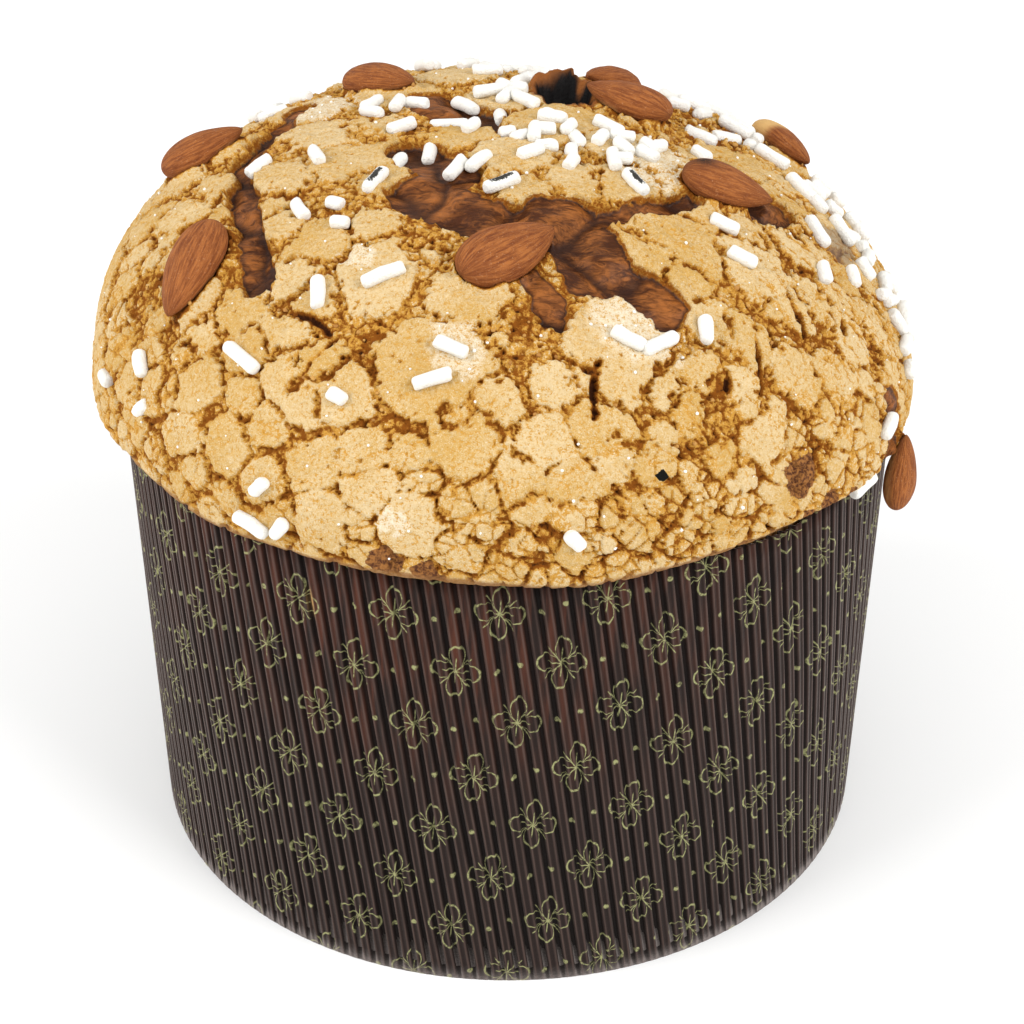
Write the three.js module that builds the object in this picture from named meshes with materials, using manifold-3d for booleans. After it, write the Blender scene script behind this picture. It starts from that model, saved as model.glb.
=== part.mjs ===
// A tall glazed panettone in its fluted paper case, with whole almonds and sugar
// rods on its cracked crust. Millimetres, +Z up. The origin is the centre of the
// case's underside, and the side seen in front faces -Y.
//
// Places on the crown are given by azimuth and lift, in degrees. Azimuth is 0 at
// the front and grows towards +X. Lift is 0 where the crown is widest, 90 at its
// top and -90 where its lip turns in to the neck.

import * as THREE from 'three';
import { mergeVertices } from 'three/addons/utils/BufferGeometryUtils.js';
import Module from 'manifold-3d';

const wasm = await Module();
wasm.setup();

// Paper case
const CASE_TOP_RADIUS = 85;
const CASE_BASE_RADIUS = 82.5;
const FLUTE_COUNT = 160;
const FLUTE_DEPTH = 1.2;
const FLUTE_LEAN = THREE.MathUtils.degToRad(7.1);
const PAPER_WALL = 0.5;
const PAPER_FLOOR = 0.6;
const RIM_CLEARANCE = 0.4;
const RIM_DIP = { azimuth: 43, spread: 13, depth: 2.6 };

// Loaf and crown
const LOAF_CLEARANCE = 0.5;
const FLOOR_CLEARANCE = 0.3;
const LIP_HEIGHT = 106.8;
const LIP_RISES = [
  { azimuth: -28, spread: 14, height: 1.5 },
  { azimuth: 60, spread: 40, height: 0.8 },
];
const CROWN_TOP = 164;
const CROWN_RADIUS = { mean: 88, towardsRight: -1.5, towardsFront: 2.5 };
const CROWN_WAIST = { mean: 112.5, towardsRight: -1.5, towardsFront: -1.4 };
const CROWN_SQUARENESS = { mean: 2.2, towardsRight: -0.15 };
const FACET = 5.2;
const LOAF_COLUMNS = 56;
const LIP_RINGS = 3;
const CROWN_RINGS = 21;

// Relief of the crust
const LUMP_HEIGHT = 0.7;
const PLATE_COUNT = 150;
const PLATE_HEIGHT = 1.3;
const PLATE_EDGE = 4;
const TEAR_DEPTH = 3;
const TEAR_EDGE = 2.4;

// Tears in the glaze, where the brown crust below shows: both ends, then half the width
const TEARS = [
  { from: [-136, 76], to: [-133, 86], half: 6 },
  { from: [-65, 79], to: [-30, 78], half: 6 },
  { from: [-33, 72], to: [2, 67], half: 7 },
  { from: [17, 68], to: [20, 57], half: 8 },
  { from: [5, 57], to: [9, 49], half: 3.2 },
  { from: [27, 53], to: [30, 47], half: 5 },
  { from: [32, 66], to: [60, 62], half: 2.5 },
  { from: [72, 51], to: [76, 49], half: 4 },
  { from: [-120, 57], to: [-89, 55], half: 3 },
  { from: [-89, 55], to: [-73, 54], half: 3 },
  { from: [-73, 54], to: [-48, 46], half: 3.5 },
  { from: [63, 10], to: [60, -10], half: 4 },
  { from: [170, 52], to: [-172, 44], half: 5 },
];

// Burst bubble beside the top: a hollow with a raised rim
const BUBBLE = { azimuth: 148, lift: 75, radius: 7, depth: 4, rim: 2.2 };

// Swellings of the whole crown
const SWELLS = [
  { azimuth: 62, lift: 4, spread: 20, height: 3 },
  { azimuth: -70, lift: 2, spread: 16, height: 1.2 },
];

// Almonds: place, turn of the tip from east towards the top, length and width, and how
// far one has slid off its place towards its tip
const ALMOND_THICKNESS = 0.62;
const ALMOND_SINK = 0.42;
const ALMOND_CLEARANCE = 0.35;
const ALMOND_SIDES = 10;
const ALMOND_RINGS = 7;
const ALMONDS = [
  { azimuth: -99, lift: 46, turn: 104, length: 20, width: 12.5 },
  { azimuth: -61, lift: 40, turn: -55, length: 24, width: 13 },
  { azimuth: -139, lift: 64, turn: 99, length: 21, width: 12 },
  { azimuth: 0, lift: 61, turn: 34, length: 22.7, width: 13.5 },
  { azimuth: 156, lift: 49, turn: 81, length: 19, width: 11.5 },
  { azimuth: 123, lift: 70, turn: 24, length: 21.3, width: 12 },
  { azimuth: 71, lift: 58, turn: -75, length: 20, width: 12 },
  { azimuth: 118, lift: 37, turn: 180, length: 20, width: 11.5 },
  { azimuth: 64, lift: 0, turn: 82, length: 17, width: 10.5, slide: -6 },
  { azimuth: 172, lift: 30, turn: 40, length: 21, width: 12 },
  { azimuth: -158, lift: 22, turn: 125, length: 22, width: 12.5 },
  { azimuth: -126, lift: 14, turn: 70, length: 20.5, width: 12 },
  { azimuth: 143, lift: 14, turn: 100, length: 21.5, width: 11.5 },
];

// Sugar rods: radius, sides, and how far the axis lies above the crust
const ROD_RADIUS = 1.45;
const ROD_SIDES = 6;
const ROD_RISE = 0.7;
const ROD_NEAR_ALMOND = 2.4;

// Rods that lie apart: azimuth, lift, turn, length
const LONE_RODS = [
  [-84, 58, 134, 7], [-79, 67, 8, 7], [-57, 60, -10, 7], [-51, 64, 14, 4],
  [-43, 61, 28, 4], [-25, 54, 45, 9], [-35, 48, -57, 7.5], [-41, 32, -11, 10],
  [-59, 19, -36, 6], [-67, 9, 2, 5], [-56, 11, 51, 5], [-9, 43, -20, 7],
  [-11, 37, 24, 8], [-24, 31, -16, 4], [-51, 71, 113, 8], [-66, 77, 132, 6],
  [58, 55, -77, 6.5], [52, 49, -69, 6.5], [34, 41, -119, 6], [20, 43, -43, 7],
  [25, 41, 10, 8], [8, 8, -48, 4.5], [-33, 2, -14, 8], [-29, 3, 58, 5],
  [-32, 10, 54, 4.5], [94, 43, -143, 10], [87, 30, -31, 4.5], [52, 69, -116, 8],
  [-3, 76, 30, 8], [-30, 79, 91, 8], [-20, 81, 68, 7], [54, -15, 8, 8],
];

// Rods strewn by rule, thickest on the top, the right and the back
const STREWN_TRIES = 260;
const STREWN_DOWN_TO = 7;
const STREWN_SHARE = 0.46;
const ROD_LENGTHS = [4, 8.5];
const GOLDEN_ANGLE = Math.PI * (3 - Math.sqrt(5));

const LOAF_COLOUR = 0xc98f4a;
const ALMOND_COLOUR = 0x7a3c1e;
const PAPER_COLOUR = 0x2a1d1a;

const rad = THREE.MathUtils.degToRad;
const fraction = (x) => x - Math.floor(x);
const lerp = THREE.MathUtils.lerp;

function smooth(low, high, x) {
  return THREE.MathUtils.smoothstep(x, low, high);
}

// Bell curve in azimuth, all the way round
function bell(azimuth, { azimuth: at, spread }) {
  const off = Math.atan2(Math.sin(azimuth - rad(at)), Math.cos(azimuth - rad(at)));
  return Math.exp(-((off / rad(spread)) ** 2));
}

function lipHeight(azimuth) {
  return LIP_HEIGHT + LIP_RISES.reduce((sum, r) => sum + r.height * bell(azimuth, r), 0);
}

function rimHeight(azimuth) {
  return lipHeight(azimuth) - RIM_CLEARANCE - RIM_DIP.depth * bell(azimuth, RIM_DIP);
}

function caseRadius(z) {
  return CASE_BASE_RADIUS + ((CASE_TOP_RADIUS - CASE_BASE_RADIUS) * z) / LIP_HEIGHT;
}

function loafRadius(z) {
  return caseRadius(z) - FLUTE_DEPTH - PAPER_WALL - LOAF_CLEARANCE;
}

function polar(radius, azimuth, z) {
  return new THREE.Vector3(radius * Math.sin(azimuth), -radius * Math.cos(azimuth), z);
}

// Crown without relief. Above its waist the section is a superellipse quarter up to
// the top, below it an ellipse quarter that turns in to the neck.
function crownPoint(azimuth, lift) {
  const right = Math.sin(azimuth);
  const front = Math.cos(azimuth);
  const widest = CROWN_RADIUS.mean + CROWN_RADIUS.towardsRight * right
    + CROWN_RADIUS.towardsFront * front;
  const waist = CROWN_WAIST.mean + CROWN_WAIST.towardsRight * right
    + CROWN_WAIST.towardsFront * front;
  const power = 2 / (CROWN_SQUARENESS.mean + CROWN_SQUARENESS.towardsRight * right);
  const c = Math.abs(Math.cos(lift));
  const s = Math.abs(Math.sin(lift));
  if (lift >= 0) {
    return polar(widest * c ** power, azimuth, waist + (CROWN_TOP - waist) * s ** power);
  }
  const lip = lipHeight(azimuth);
  const neck = loafRadius(lip);
  return polar(neck + (widest - neck) * c, azimuth, waist - (waist - lip) * s);
}

// Point, east, uphill and outward directions of the plain crown
function crownFrame(azimuth, lift) {
  const step = 0.001;
  const low = Math.min(lift, Math.PI / 2 - 2 * step);
  const point = crownPoint(azimuth, low);
  const east = crownPoint(azimuth + step, low).sub(point).normalize();
  const uphill = crownPoint(azimuth, low + step).sub(point);
  uphill.addScaledVector(east, -uphill.dot(east)).normalize();
  return { point, east, uphill, out: new THREE.Vector3().crossVectors(east, uphill) };
}

const placed = ([azimuth, lift]) => crownPoint(rad(azimuth), rad(lift));

// Seeds of the large glaze plates, spread evenly over the crown by the golden angle
const plateSeeds = Array.from({ length: PLATE_COUNT }, (_, i) => {
  const height = 1 - (i + 0.5) / PLATE_COUNT;
  const wander = 0.12 * (fraction(i * 0.7548777) - 0.5);
  return crownPoint(i * GOLDEN_ANGLE + wander, Math.asin(height ** 1.35) - 0.15 * (1 - height));
});

const tears = TEARS.map((tear) => ({
  line: new THREE.Line3(placed(tear.from), placed(tear.to)),
  half: tear.half,
}));

const bubbleCentre = placed([BUBBLE.azimuth, BUBBLE.lift]);

// 1 inside a tear, 0 on sound glaze
function tornShare(point) {
  const nearest = new THREE.Vector3();
  return tears.reduce((share, { line, half }) => {
    const gap = line.closestPointToPoint(point, true, nearest).distanceTo(point) - half;
    return Math.max(share, 1 - smooth(-TEAR_EDGE / 2, TEAR_EDGE / 2, gap));
  }, 0);
}

// Plates stand proud and fall off towards their shared edges
function plateRelief(point) {
  let first = Infinity;
  let second = Infinity;
  for (const seed of plateSeeds) {
    const gap = seed.distanceTo(point);
    if (gap < first) {
      second = first;
      first = gap;
    } else if (gap < second) {
      second = gap;
    }
  }
  return PLATE_HEIGHT * smooth(0, PLATE_EDGE, second - first);
}

function lumpRelief({ x, y, z }) {
  return LUMP_HEIGHT * (Math.sin(x / 13 + 0.5) * Math.sin(y / 15 + 1.1)
    + 0.6 * Math.sin(x / 7.3 + z / 9) * Math.sin(y / 8.1));
}

function bubbleRelief(point) {
  const gap = bubbleCentre.distanceTo(point) / BUBBLE.radius;
  return BUBBLE.rim * Math.exp(-(((gap - 1.15) / 0.35) ** 2))
    - BUBBLE.depth * (1 - smooth(0.45, 1.05, gap));
}

function swellRelief(azimuth, lift) {
  return SWELLS.reduce((sum, swell) => {
    const rise = (lift - rad(swell.lift)) / rad(swell.spread);
    return sum + swell.height * bell(azimuth, swell) * Math.exp(-(rise ** 2));
  }, 0);
}

// Crown with relief, which fades out on the underside of the lip
function crustPoint(azimuth, lift) {
  const { point, out } = crownFrame(azimuth, lift);
  const torn = tornShare(point);
  const height = lumpRelief(point) + swellRelief(azimuth, lift) + bubbleRelief(point)
    + plateRelief(point) * (1 - torn) - TEAR_DEPTH * torn;
  return point.addScaledVector(out, height * smooth(rad(-75), rad(-5), lift));
}

function toManifold(geometry) {
  const bare = geometry.clone();
  bare.deleteAttribute('normal');
  bare.deleteAttribute('uv');
  const merged = mergeVertices(bare, 1e-4);
  return new wasm.Manifold(new wasm.Mesh({
    numProp: 3,
    vertProperties: new Float32Array(merged.attributes.position.array),
    triVerts: new Uint32Array(merged.index.array),
  }));
}

function toGeometry(solid) {
  const mesh = solid.getMesh();
  const geometry = new THREE.BufferGeometry();
  geometry.setAttribute('position', new THREE.BufferAttribute(mesh.vertProperties, 3));
  geometry.setIndex(new THREE.BufferAttribute(mesh.triVerts, 1));
  geometry.computeVertexNormals();
  return geometry;
}

// Triangles between two rings of different counts, the first one below the second
function stitch(lower, upper, faces) {
  let i = 0;
  let j = 0;
  while (i < lower.count || j < upper.count) {
    const a = lower.start + (i % lower.count);
    const b = upper.start + (j % upper.count);
    if (j >= upper.count || (i < lower.count && (i + 1) / lower.count <= (j + 1) / upper.count)) {
      i += 1;
      faces.push(a, lower.start + (i % lower.count), b);
    } else {
      j += 1;
      faces.push(a, upper.start + (j % upper.count), b);
    }
  }
}

// Loaf and crown in one closed skin: rings from the underside to the top
function loafGeometry() {
  const points = [];
  const faces = [];
  const rings = [];
  const addRing = (count, place) => {
    rings.push({ start: points.length, count });
    for (let i = 0; i < count; i += 1) points.push(place((2 * Math.PI * i) / count));
  };
  const bottom = PAPER_FLOOR + FLOOR_CLEARANCE;
  const around = (radius) => Math.max(6, Math.round((2 * Math.PI * radius) / FACET));
  addRing(1, () => new THREE.Vector3(0, 0, bottom));
  addRing(LOAF_COLUMNS, (azimuth) => polar(loafRadius(bottom), azimuth, bottom));
  for (let k = 0; k < LIP_RINGS; k += 1) {
    const lift = -(Math.PI / 2) * (1 - k / LIP_RINGS);
    addRing(around(CROWN_RADIUS.mean), (azimuth) => crustPoint(azimuth, lift));
  }
  for (let k = 0; k < CROWN_RINGS; k += 1) {
    const lift = ((Math.PI / 2) * k) / CROWN_RINGS;
    const middle = crownPoint(0, lift);
    addRing(around(Math.hypot(middle.x, middle.y)), (azimuth) => crustPoint(azimuth, lift));
  }
  addRing(1, () => crustPoint(0, Math.PI / 2));
  for (let k = 1; k < rings.length; k += 1) stitch(rings[k - 1], rings[k], faces);
  const solidFaces = [];
  for (let k = 0; k < faces.length; k += 3) {
    const [a, b, c] = faces.slice(k, k + 3);
    if (a !== b && b !== c && c !== a) solidFaces.push(a, b, c);
  }
  const geometry = new THREE.BufferGeometry().setFromPoints(points);
  geometry.setIndex(solidFaces);
  return geometry;
}

// Flattened drop with its tip along +X and its flat sides facing up and down Z
function almondGeometry(length, width, swell = 0) {
  const profile = [];
  for (let k = 0; k <= ALMOND_RINGS; k += 1) {
    const u = (1 - Math.cos((Math.PI * k) / ALMOND_RINGS)) / 2;
    const round = Math.sin(Math.PI * u ** 0.7) ** 0.66;
    const radius = k === 0 || k === ALMOND_RINGS ? 0 : (width / 2) * round + swell;
    profile.push(new THREE.Vector2(radius, (0.5 - u) * (length + 2 * swell)));
  }
  profile.reverse();
  const geometry = new THREE.LatheGeometry(profile, ALMOND_SIDES);
  geometry.rotateZ(Math.PI / 2);
  geometry.scale(1, 1, ALMOND_THICKNESS + (swell * (1 - ALMOND_THICKNESS)) / (width / 2));
  return geometry;
}

// Matrix that lays a piece on the crust: its X along the turn, its Z outwards
function layMatrix(azimuth, lift, turn, rise) {
  const { east, uphill, out } = crownFrame(azimuth, lift);
  const along = east.clone().multiplyScalar(Math.cos(turn))
    .addScaledVector(uphill, Math.sin(turn));
  const across = new THREE.Vector3().crossVectors(out, along);
  const place = crustPoint(azimuth, lift).addScaledVector(out, rise);
  return new THREE.Matrix4().makeBasis(along, across, out).setPosition(place);
}

const almondSeats = ALMONDS.map((almond) => ({
  ...almond,
  matrix: layMatrix(rad(almond.azimuth), rad(almond.lift), rad(almond.turn),
    almond.width * ALMOND_THICKNESS * (0.5 - ALMOND_SINK))
    .multiply(new THREE.Matrix4().makeTranslation(almond.slide ?? 0, 0, 0)),
}));

function nearAlmond(point, reach) {
  return almondSeats.some(({ matrix, length, width }) => {
    const local = point.clone().applyMatrix4(matrix.clone().invert());
    const x = local.x / (length / 2 + reach);
    const y = local.y / (width / 2 + reach);
    return x * x + y * y < 1 && Math.abs(local.z) < width;
  });
}

// How crowded the strewn rods lie, from 0 to 1
function crowding(azimuth, lift) {
  const top = smooth(rad(72), rad(80), lift);
  const backRight = smooth(-0.1, 0.5, Math.cos(azimuth - rad(140)));
  return Math.max(1.4 * top, backRight);
}

function strewnRods() {
  const found = [];
  for (let i = 0; i < STREWN_TRIES; i += 1) {
    const azimuth = i * GOLDEN_ANGLE;
    const lift = rad(lerp(90, STREWN_DOWN_TO, ((i + 0.5) / STREWN_TRIES) ** 0.7));
    const length = lerp(...ROD_LENGTHS, fraction(i * 0.5698403));
    if (fraction(i * 0.7548777) < STREWN_SHARE * crowding(azimuth, lift)) {
      found.push({ azimuth, lift, turn: Math.PI * fraction(i * 0.3819), length });
    }
  }
  return found;
}

function sugarRods() {
  const lone = LONE_RODS.map(([azimuth, lift, turn, length]) => (
    { azimuth: rad(azimuth), lift: rad(lift), turn: rad(turn), length }
  ));
  return [...lone, ...strewnRods()].filter(({ azimuth, lift, length }) => (
    !nearAlmond(crustPoint(azimuth, lift), length / 2 + ROD_NEAR_ALMOND)
  ));
}

function rodGeometry({ azimuth, lift, turn, length }) {
  const rod = new THREE.CylinderGeometry(ROD_RADIUS, ROD_RADIUS, length, ROD_SIDES);
  rod.rotateZ(Math.PI / 2);
  return rod.applyMatrix4(layMatrix(azimuth, lift, turn, ROD_RISE));
}

// Loaf with its sugar rods fused on and a pocket under each almond. A scrap that a
// pocket cuts loose is dropped.
function breadGeometry() {
  let bread = toManifold(loafGeometry());
  for (const rod of sugarRods()) bread = bread.add(toManifold(rodGeometry(rod)));
  for (const { length, width, matrix } of almondSeats) {
    const pocket = almondGeometry(length, width, ALMOND_CLEARANCE).applyMatrix4(matrix);
    bread = bread.subtract(toManifold(pocket));
  }
  const bodies = bread.decompose().sort((a, b) => b.volume() - a.volume());
  return toGeometry(bodies[0]);
}

// Cup of pleated paper: ridge and valley columns that lean as they rise
function caseGeometry() {
  const columns = 2 * FLUTE_COUNT;
  const fullLean = (Math.tan(FLUTE_LEAN) * LIP_HEIGHT) / CASE_TOP_RADIUS;
  const points = [];
  const faces = [];
  const ring = (inset, lean, height) => {
    const start = points.length;
    for (let i = 0; i < columns; i += 1) {
      const azimuth = (2 * Math.PI * i) / columns - lean;
      const z = height(azimuth);
      points.push(polar(caseRadius(z) - inset - (i % 2 ? FLUTE_DEPTH : 0), azimuth, z));
    }
    return start;
  };
  const band = (lower, upper) => {
    for (let i = 0; i < columns; i += 1) {
      const next = (i + 1) % columns;
      faces.push(lower + i, lower + next, upper + next, lower + i, upper + next, upper + i);
    }
  };
  const outerFoot = ring(0, 0, () => 0);
  const outerRim = ring(0, fullLean, rimHeight);
  const innerRim = ring(PAPER_WALL, fullLean, rimHeight);
  const innerFoot = ring(PAPER_WALL, 0, () => PAPER_FLOOR);
  band(outerFoot, outerRim);
  band(outerRim, innerRim);
  band(innerRim, innerFoot);
  const under = points.push(new THREE.Vector3(0, 0, 0)) - 1;
  const over = points.push(new THREE.Vector3(0, 0, PAPER_FLOOR)) - 1;
  for (let i = 0; i < columns; i += 1) {
    const next = (i + 1) % columns;
    faces.push(under, outerFoot + next, outerFoot + i, over, innerFoot + i, innerFoot + next);
  }
  const geometry = new THREE.BufferGeometry().setFromPoints(points);
  geometry.setIndex(faces);
  geometry.computeVertexNormals();
  return geometry;
}

function part(name, geometry, color, roughness) {
  const material = new THREE.MeshStandardMaterial({ color, roughness, metalness: 0 });
  const mesh = new THREE.Mesh(geometry, material);
  mesh.name = name;
  return mesh;
}

const panettone = new THREE.Group();
panettone.add(part('bread', breadGeometry(), LOAF_COLOUR, 0.75));
panettone.add(part('paper_case', caseGeometry(), PAPER_COLOUR, 0.5));
almondSeats.forEach(({ length, width, matrix }, i) => {
  const almond = part(`almond_${i + 1}`, almondGeometry(length, width), ALMOND_COLOUR, 0.65);
  almond.applyMatrix4(matrix);
  panettone.add(almond);
});

export default panettone;
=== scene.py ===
"""Look of a glazed panettone in its fluted paper case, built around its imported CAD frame.

Run as a script in Blender. Blender objects are in metres. Everything here is worked out in
millimetres in the row frame (origin under the middle of the case, front facing -Y, +Z up)
and scaled down once, when a mesh is made. Places on the crown are an azimuth, 0 at the front
and growing towards +X, and a lift, 0 where the crown is widest and 90 at its top.
"""

import itertools
import math

import bpy
import numpy as np
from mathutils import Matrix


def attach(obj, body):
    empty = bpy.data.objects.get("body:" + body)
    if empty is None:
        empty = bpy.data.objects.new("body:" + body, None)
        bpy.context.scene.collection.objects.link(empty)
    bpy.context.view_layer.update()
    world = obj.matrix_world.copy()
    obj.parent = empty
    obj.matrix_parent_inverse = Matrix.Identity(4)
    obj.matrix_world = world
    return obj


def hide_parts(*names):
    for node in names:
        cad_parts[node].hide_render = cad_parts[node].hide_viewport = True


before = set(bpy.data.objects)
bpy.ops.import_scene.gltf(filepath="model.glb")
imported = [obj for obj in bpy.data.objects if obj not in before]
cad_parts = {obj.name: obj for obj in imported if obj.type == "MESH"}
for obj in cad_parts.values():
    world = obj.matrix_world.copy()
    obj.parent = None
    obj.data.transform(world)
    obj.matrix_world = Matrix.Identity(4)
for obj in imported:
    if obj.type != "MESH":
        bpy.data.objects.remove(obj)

bl_info = {
    "name": "Glazed panettone",
    "version": (1, 0, 0),
    "blender": (4, 5, 0),
    "location": "3D View > Sidebar > Panettone",
    "description": "Builds a glazed panettone with almonds and sugar rods in a paper case",
    "category": "Object",
}

MM = 0.001
GOLDEN_ANGLE = math.pi * (3 - math.sqrt(5))

# Steps that spread draws evenly from 0 to 1, and whole numbers that scramble lattice places
PLATE_STEP = 0.7548776662
STEP_A, STEP_B, STEP_C, STEP_D = 0.7548777, 0.5698403, 0.6180340, 0.3819
HASH_X, HASH_Y, HASH_Z, HASH_SEED = 374761393, 668265263, 1440662683, 974711
HASH_MIX = 1274126177
LONG_MIX_1, LONG_MIX_2 = 6364136223846793005, 1442695040888963407
HASH_MASK = 0x7FFFFFFF

# Shape shared with the CAD, in millimetres and degrees
LIP_HEIGHT = 106.8
LIP_RISES = [(-28, 14, 1.5), (60, 40, 0.8)]
RIM_CLEARANCE = 0.4
RIM_DIP = (43, 13, 2.6)
CASE_BASE_RADIUS = 82.5
CASE_TOP_RADIUS = 85.0
FLUTE_COUNT = 160
FLUTE_DEPTH = 1.2
VISIBLE_FLUTE = 0.9
FLUTE_LEAN = 7.1
PAPER_WALL = 0.5
PAPER_FLOOR = 0.6
LOAF_CLEARANCE = 0.5
FLOOR_CLEARANCE = 0.3
CROWN_TOP = 164.0
CROWN_RADIUS = (88.0, -1.5, 2.5)
CROWN_WAIST = (112.5, -1.5, -1.4)
CROWN_SQUARENESS = (2.2, -0.15)
LUMP_HEIGHT = 0.7
SWELLS = [(62, 4, 20, 3.0), (-70, 2, 16, 1.2)]
BUBBLE = {"at": (148, 75), "radius": 7.0, "depth": 4.0, "rim": 3.6}

# Tears in the glaze: azimuth and lift of both ends, then half the width
TEARS = [
    (-136, 76, -133, 86, 6), (-65, 79, -30, 78, 6), (-33, 72, 2, 67, 7), (17, 68, 20, 57, 8),
    (5, 57, 9, 49, 3.2), (27, 53, 30, 47, 5), (32, 66, 60, 62, 2.5), (72, 51, 76, 49, 4),
    (-120, 57, -89, 55, 3), (-89, 55, -73, 54, 3), (-73, 54, -48, 46, 3.5),
    (63, 10, 60, -10, 4), (170, 52, -172, 44, 5),
]
TEAR_DEPTH = 2.6
CUSHION_RISE = 2.2

# Half width of the gaps between plates, how ragged and how chipped the plates' edges are,
# each low down on the crown and on its upper part
GAP_WIDTH = (0.22, 0.50)
RAGGEDNESS = (0.48, 1.2)
CHIPPING = (0.85, 1.6)
CHIP_REACH = 1.6

# Cells of the crust: how far across
CHIP_SIZE, PIECE_SIZE, GRANULE_SIZE, HOLE_SIZE = 2.3, 2.7, 1.1, 2.1
CRACKLE_SIZE, PIT_SIZE, CUSHION_SIZE = 3.6, 2.2, 19

# How far each kind of gap is sunk. The seat value sinks nothing: it only darkens the colour
# where the crust meets an almond, as painted shade
PIECE_DEPTH, GRANULE_DEPTH, HOLE_DEPTH, CRACK_DEPTH = 0.50, 0.42, 0.85, 1.5
CRACKLE_DEPTH, PIT_DEPTH, FURROW_DEPTH, SEAT_SHADE = 0.75, 0.6, 0.8, 1.2
SUNK_SHARE = 0.75

# Dark cracks narrower than a tear, in the same form
CRACKS = [
    (35, 36, 32, 21, 0.6), (44, 38, 38, 27, 0.5), (-28, 42, -30, 30, 0.6), (-30, 42, -40, 44, 0.7),
    (14, 40, 12, 31, 0.5), (6, 42, 14, 38, 0.5), (63, 50, 52, 33, 0.8), (74, 46, 60, 28, 0.7),
    (48, 44, 44, 37, 0.6), (-72, 24, -70, 12, 0.7), (-60, 12, -52, 30, 0.6), (80, 44, 74, 22, 0.8),
    (150, 44, 147, 22, 0.9), (-150, 40, -140, 20, 0.9), (178, 22, 170, 8, 0.8),
]

# Glaze plates seen apart: azimuth, lift, radius
PLATES = [
    (-11, 40, 11), (18, 42, 11), (-23, 32, 5.5), (-36, 47, 6), (-28, 37, 4.5), (7, 36, 5),
    (-1, 34, 5), (-7, 31, 3.5), (-6, 26, 6), (5, 26, 5.5), (-19, 21, 4.8), (-13, 23, 4),
    (-25, 17, 5), (-17, 15, 5.5), (-11, 18, 3), (2, 19, 4.5), (9, 19, 5), (-12, 10, 6.5),
    (-23, 7, 5), (-18, 7, 3), (12, 29, 6), (9, 13, 3.5), (3, 14, 3), (-6, 15, 3), (-3, 17, 2.8),
    (13, 23, 4), (24, 34, 4), (30, 35, 3.5), (42, 36, 5), (36, 30, 3.5), (45, 28, 5),
    (36, 25, 3), (20, 20, 4), (29, 19, 2.8), (37, 20, 5), (48, 17, 3), (21, 26, 3), (26, 28, 3),
    (-81, 44, 6), (-83, 50, 5), (-86, 33, 6), (-72, 50, 3), (-78, 31, 3), (-74, 34, 3),
    (-75, 25, 4), (-47, 40, 6), (-51, 32, 4), (-37, 40, 5), (-47, 23, 5.5), (-41, 34, 5),
    (-33, 32, 5), (-74, 60, 7), (-66, 57, 4.5), (-43, 57, 7), (-41, 49, 6), (-52, 27, 3),
    (-59, 23, 3.5), (-61, 28, 3.5), (-57, 56, 3.5), (-77, 39, 2.5), (-71, 37, 2.5),
    (-38, 26, 4), (-71, 20, 3), (-29, 29, 4), (-55, 16, 4), (-52, 18, 3), (-96, 68, 8),
    (-99, 73, 6), (-75, 71, 8), (-49, 73, 6), (-28, 54, 8.5), (-35, 63, 5), (-8, 53, 7),
    (-77, 87, 6), (-173, 82, 8), (9, 74, 7), (34, 75, 7), (106, 84, 8), (-161, 66, 8),
    (80, 71, 7), (50, 70, 7), (43, 57, 8), (54, 46, 7), (60, 37, 4), (53, 38, 4.5),
    (33, 57, 6), (36, 49, 5), (36, 43, 5), (62, 51, 4), (96, 55, 7), (84, 47, 5), (68, 43, 5),
    (66, 32, 3.5), (88, 63, 4),
]
PLATE_TRIES = 9000
POINTS_AT_ONCE = 8192
PLATE_LEVEL = 0.12
PLATE_LEVEL_PER_RADIUS = 0.036

# Spots in the crust: azimuth, lift, radius
BROWN_SPOTS = [(41, 9, 5.2), (-15, 1, 3.4), (-10, -4, 3), (42, -7, 2.4), (46, -6, 3.0),
               (50, -4, 2.4)]
ASH_SPOTS = [(81, 36, 6), (-150, 34, 5)]
BLACK_SPOTS = [(20, 18, 1.2)]
BLOOMS = [(-8, 43, 6.5), (22, 45, 9), (27, 42, 5), (-15, 10, 1.9), (-12.5, 9, 1.9),
          (70, 68, 9), (-120, 62, 8), (-33, 57, 4)]

# Almonds: azimuth, lift, turn of the tip from east towards the top, length, width
ALMONDS = [
    (-99, 46, 104, 20, 12.5), (-61, 40, -55, 24, 13), (-139, 64, 99, 21, 12),
    (0, 61, 34, 22.7, 13.5), (156, 49, 81, 19, 11.5), (123, 70, 24, 21.3, 12),
    (71, 58, -75, 20, 12), (118, 37, 180, 20, 11.5), (64, 0, 82, 17, 10.5),
    (172, 30, 40, 21, 12), (-158, 22, 125, 22, 12.5), (-126, 14, 70, 20.5, 12),
    (143, 14, 100, 21.5, 11.5),
]
BURNT_ALMOND = 7
ICED_ALMOND = 8
ICED_FROM = 0.02
ALMOND_THICKNESS = 0.62
ALMOND_RINGS = 56
ALMOND_SIDES = 40

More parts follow.
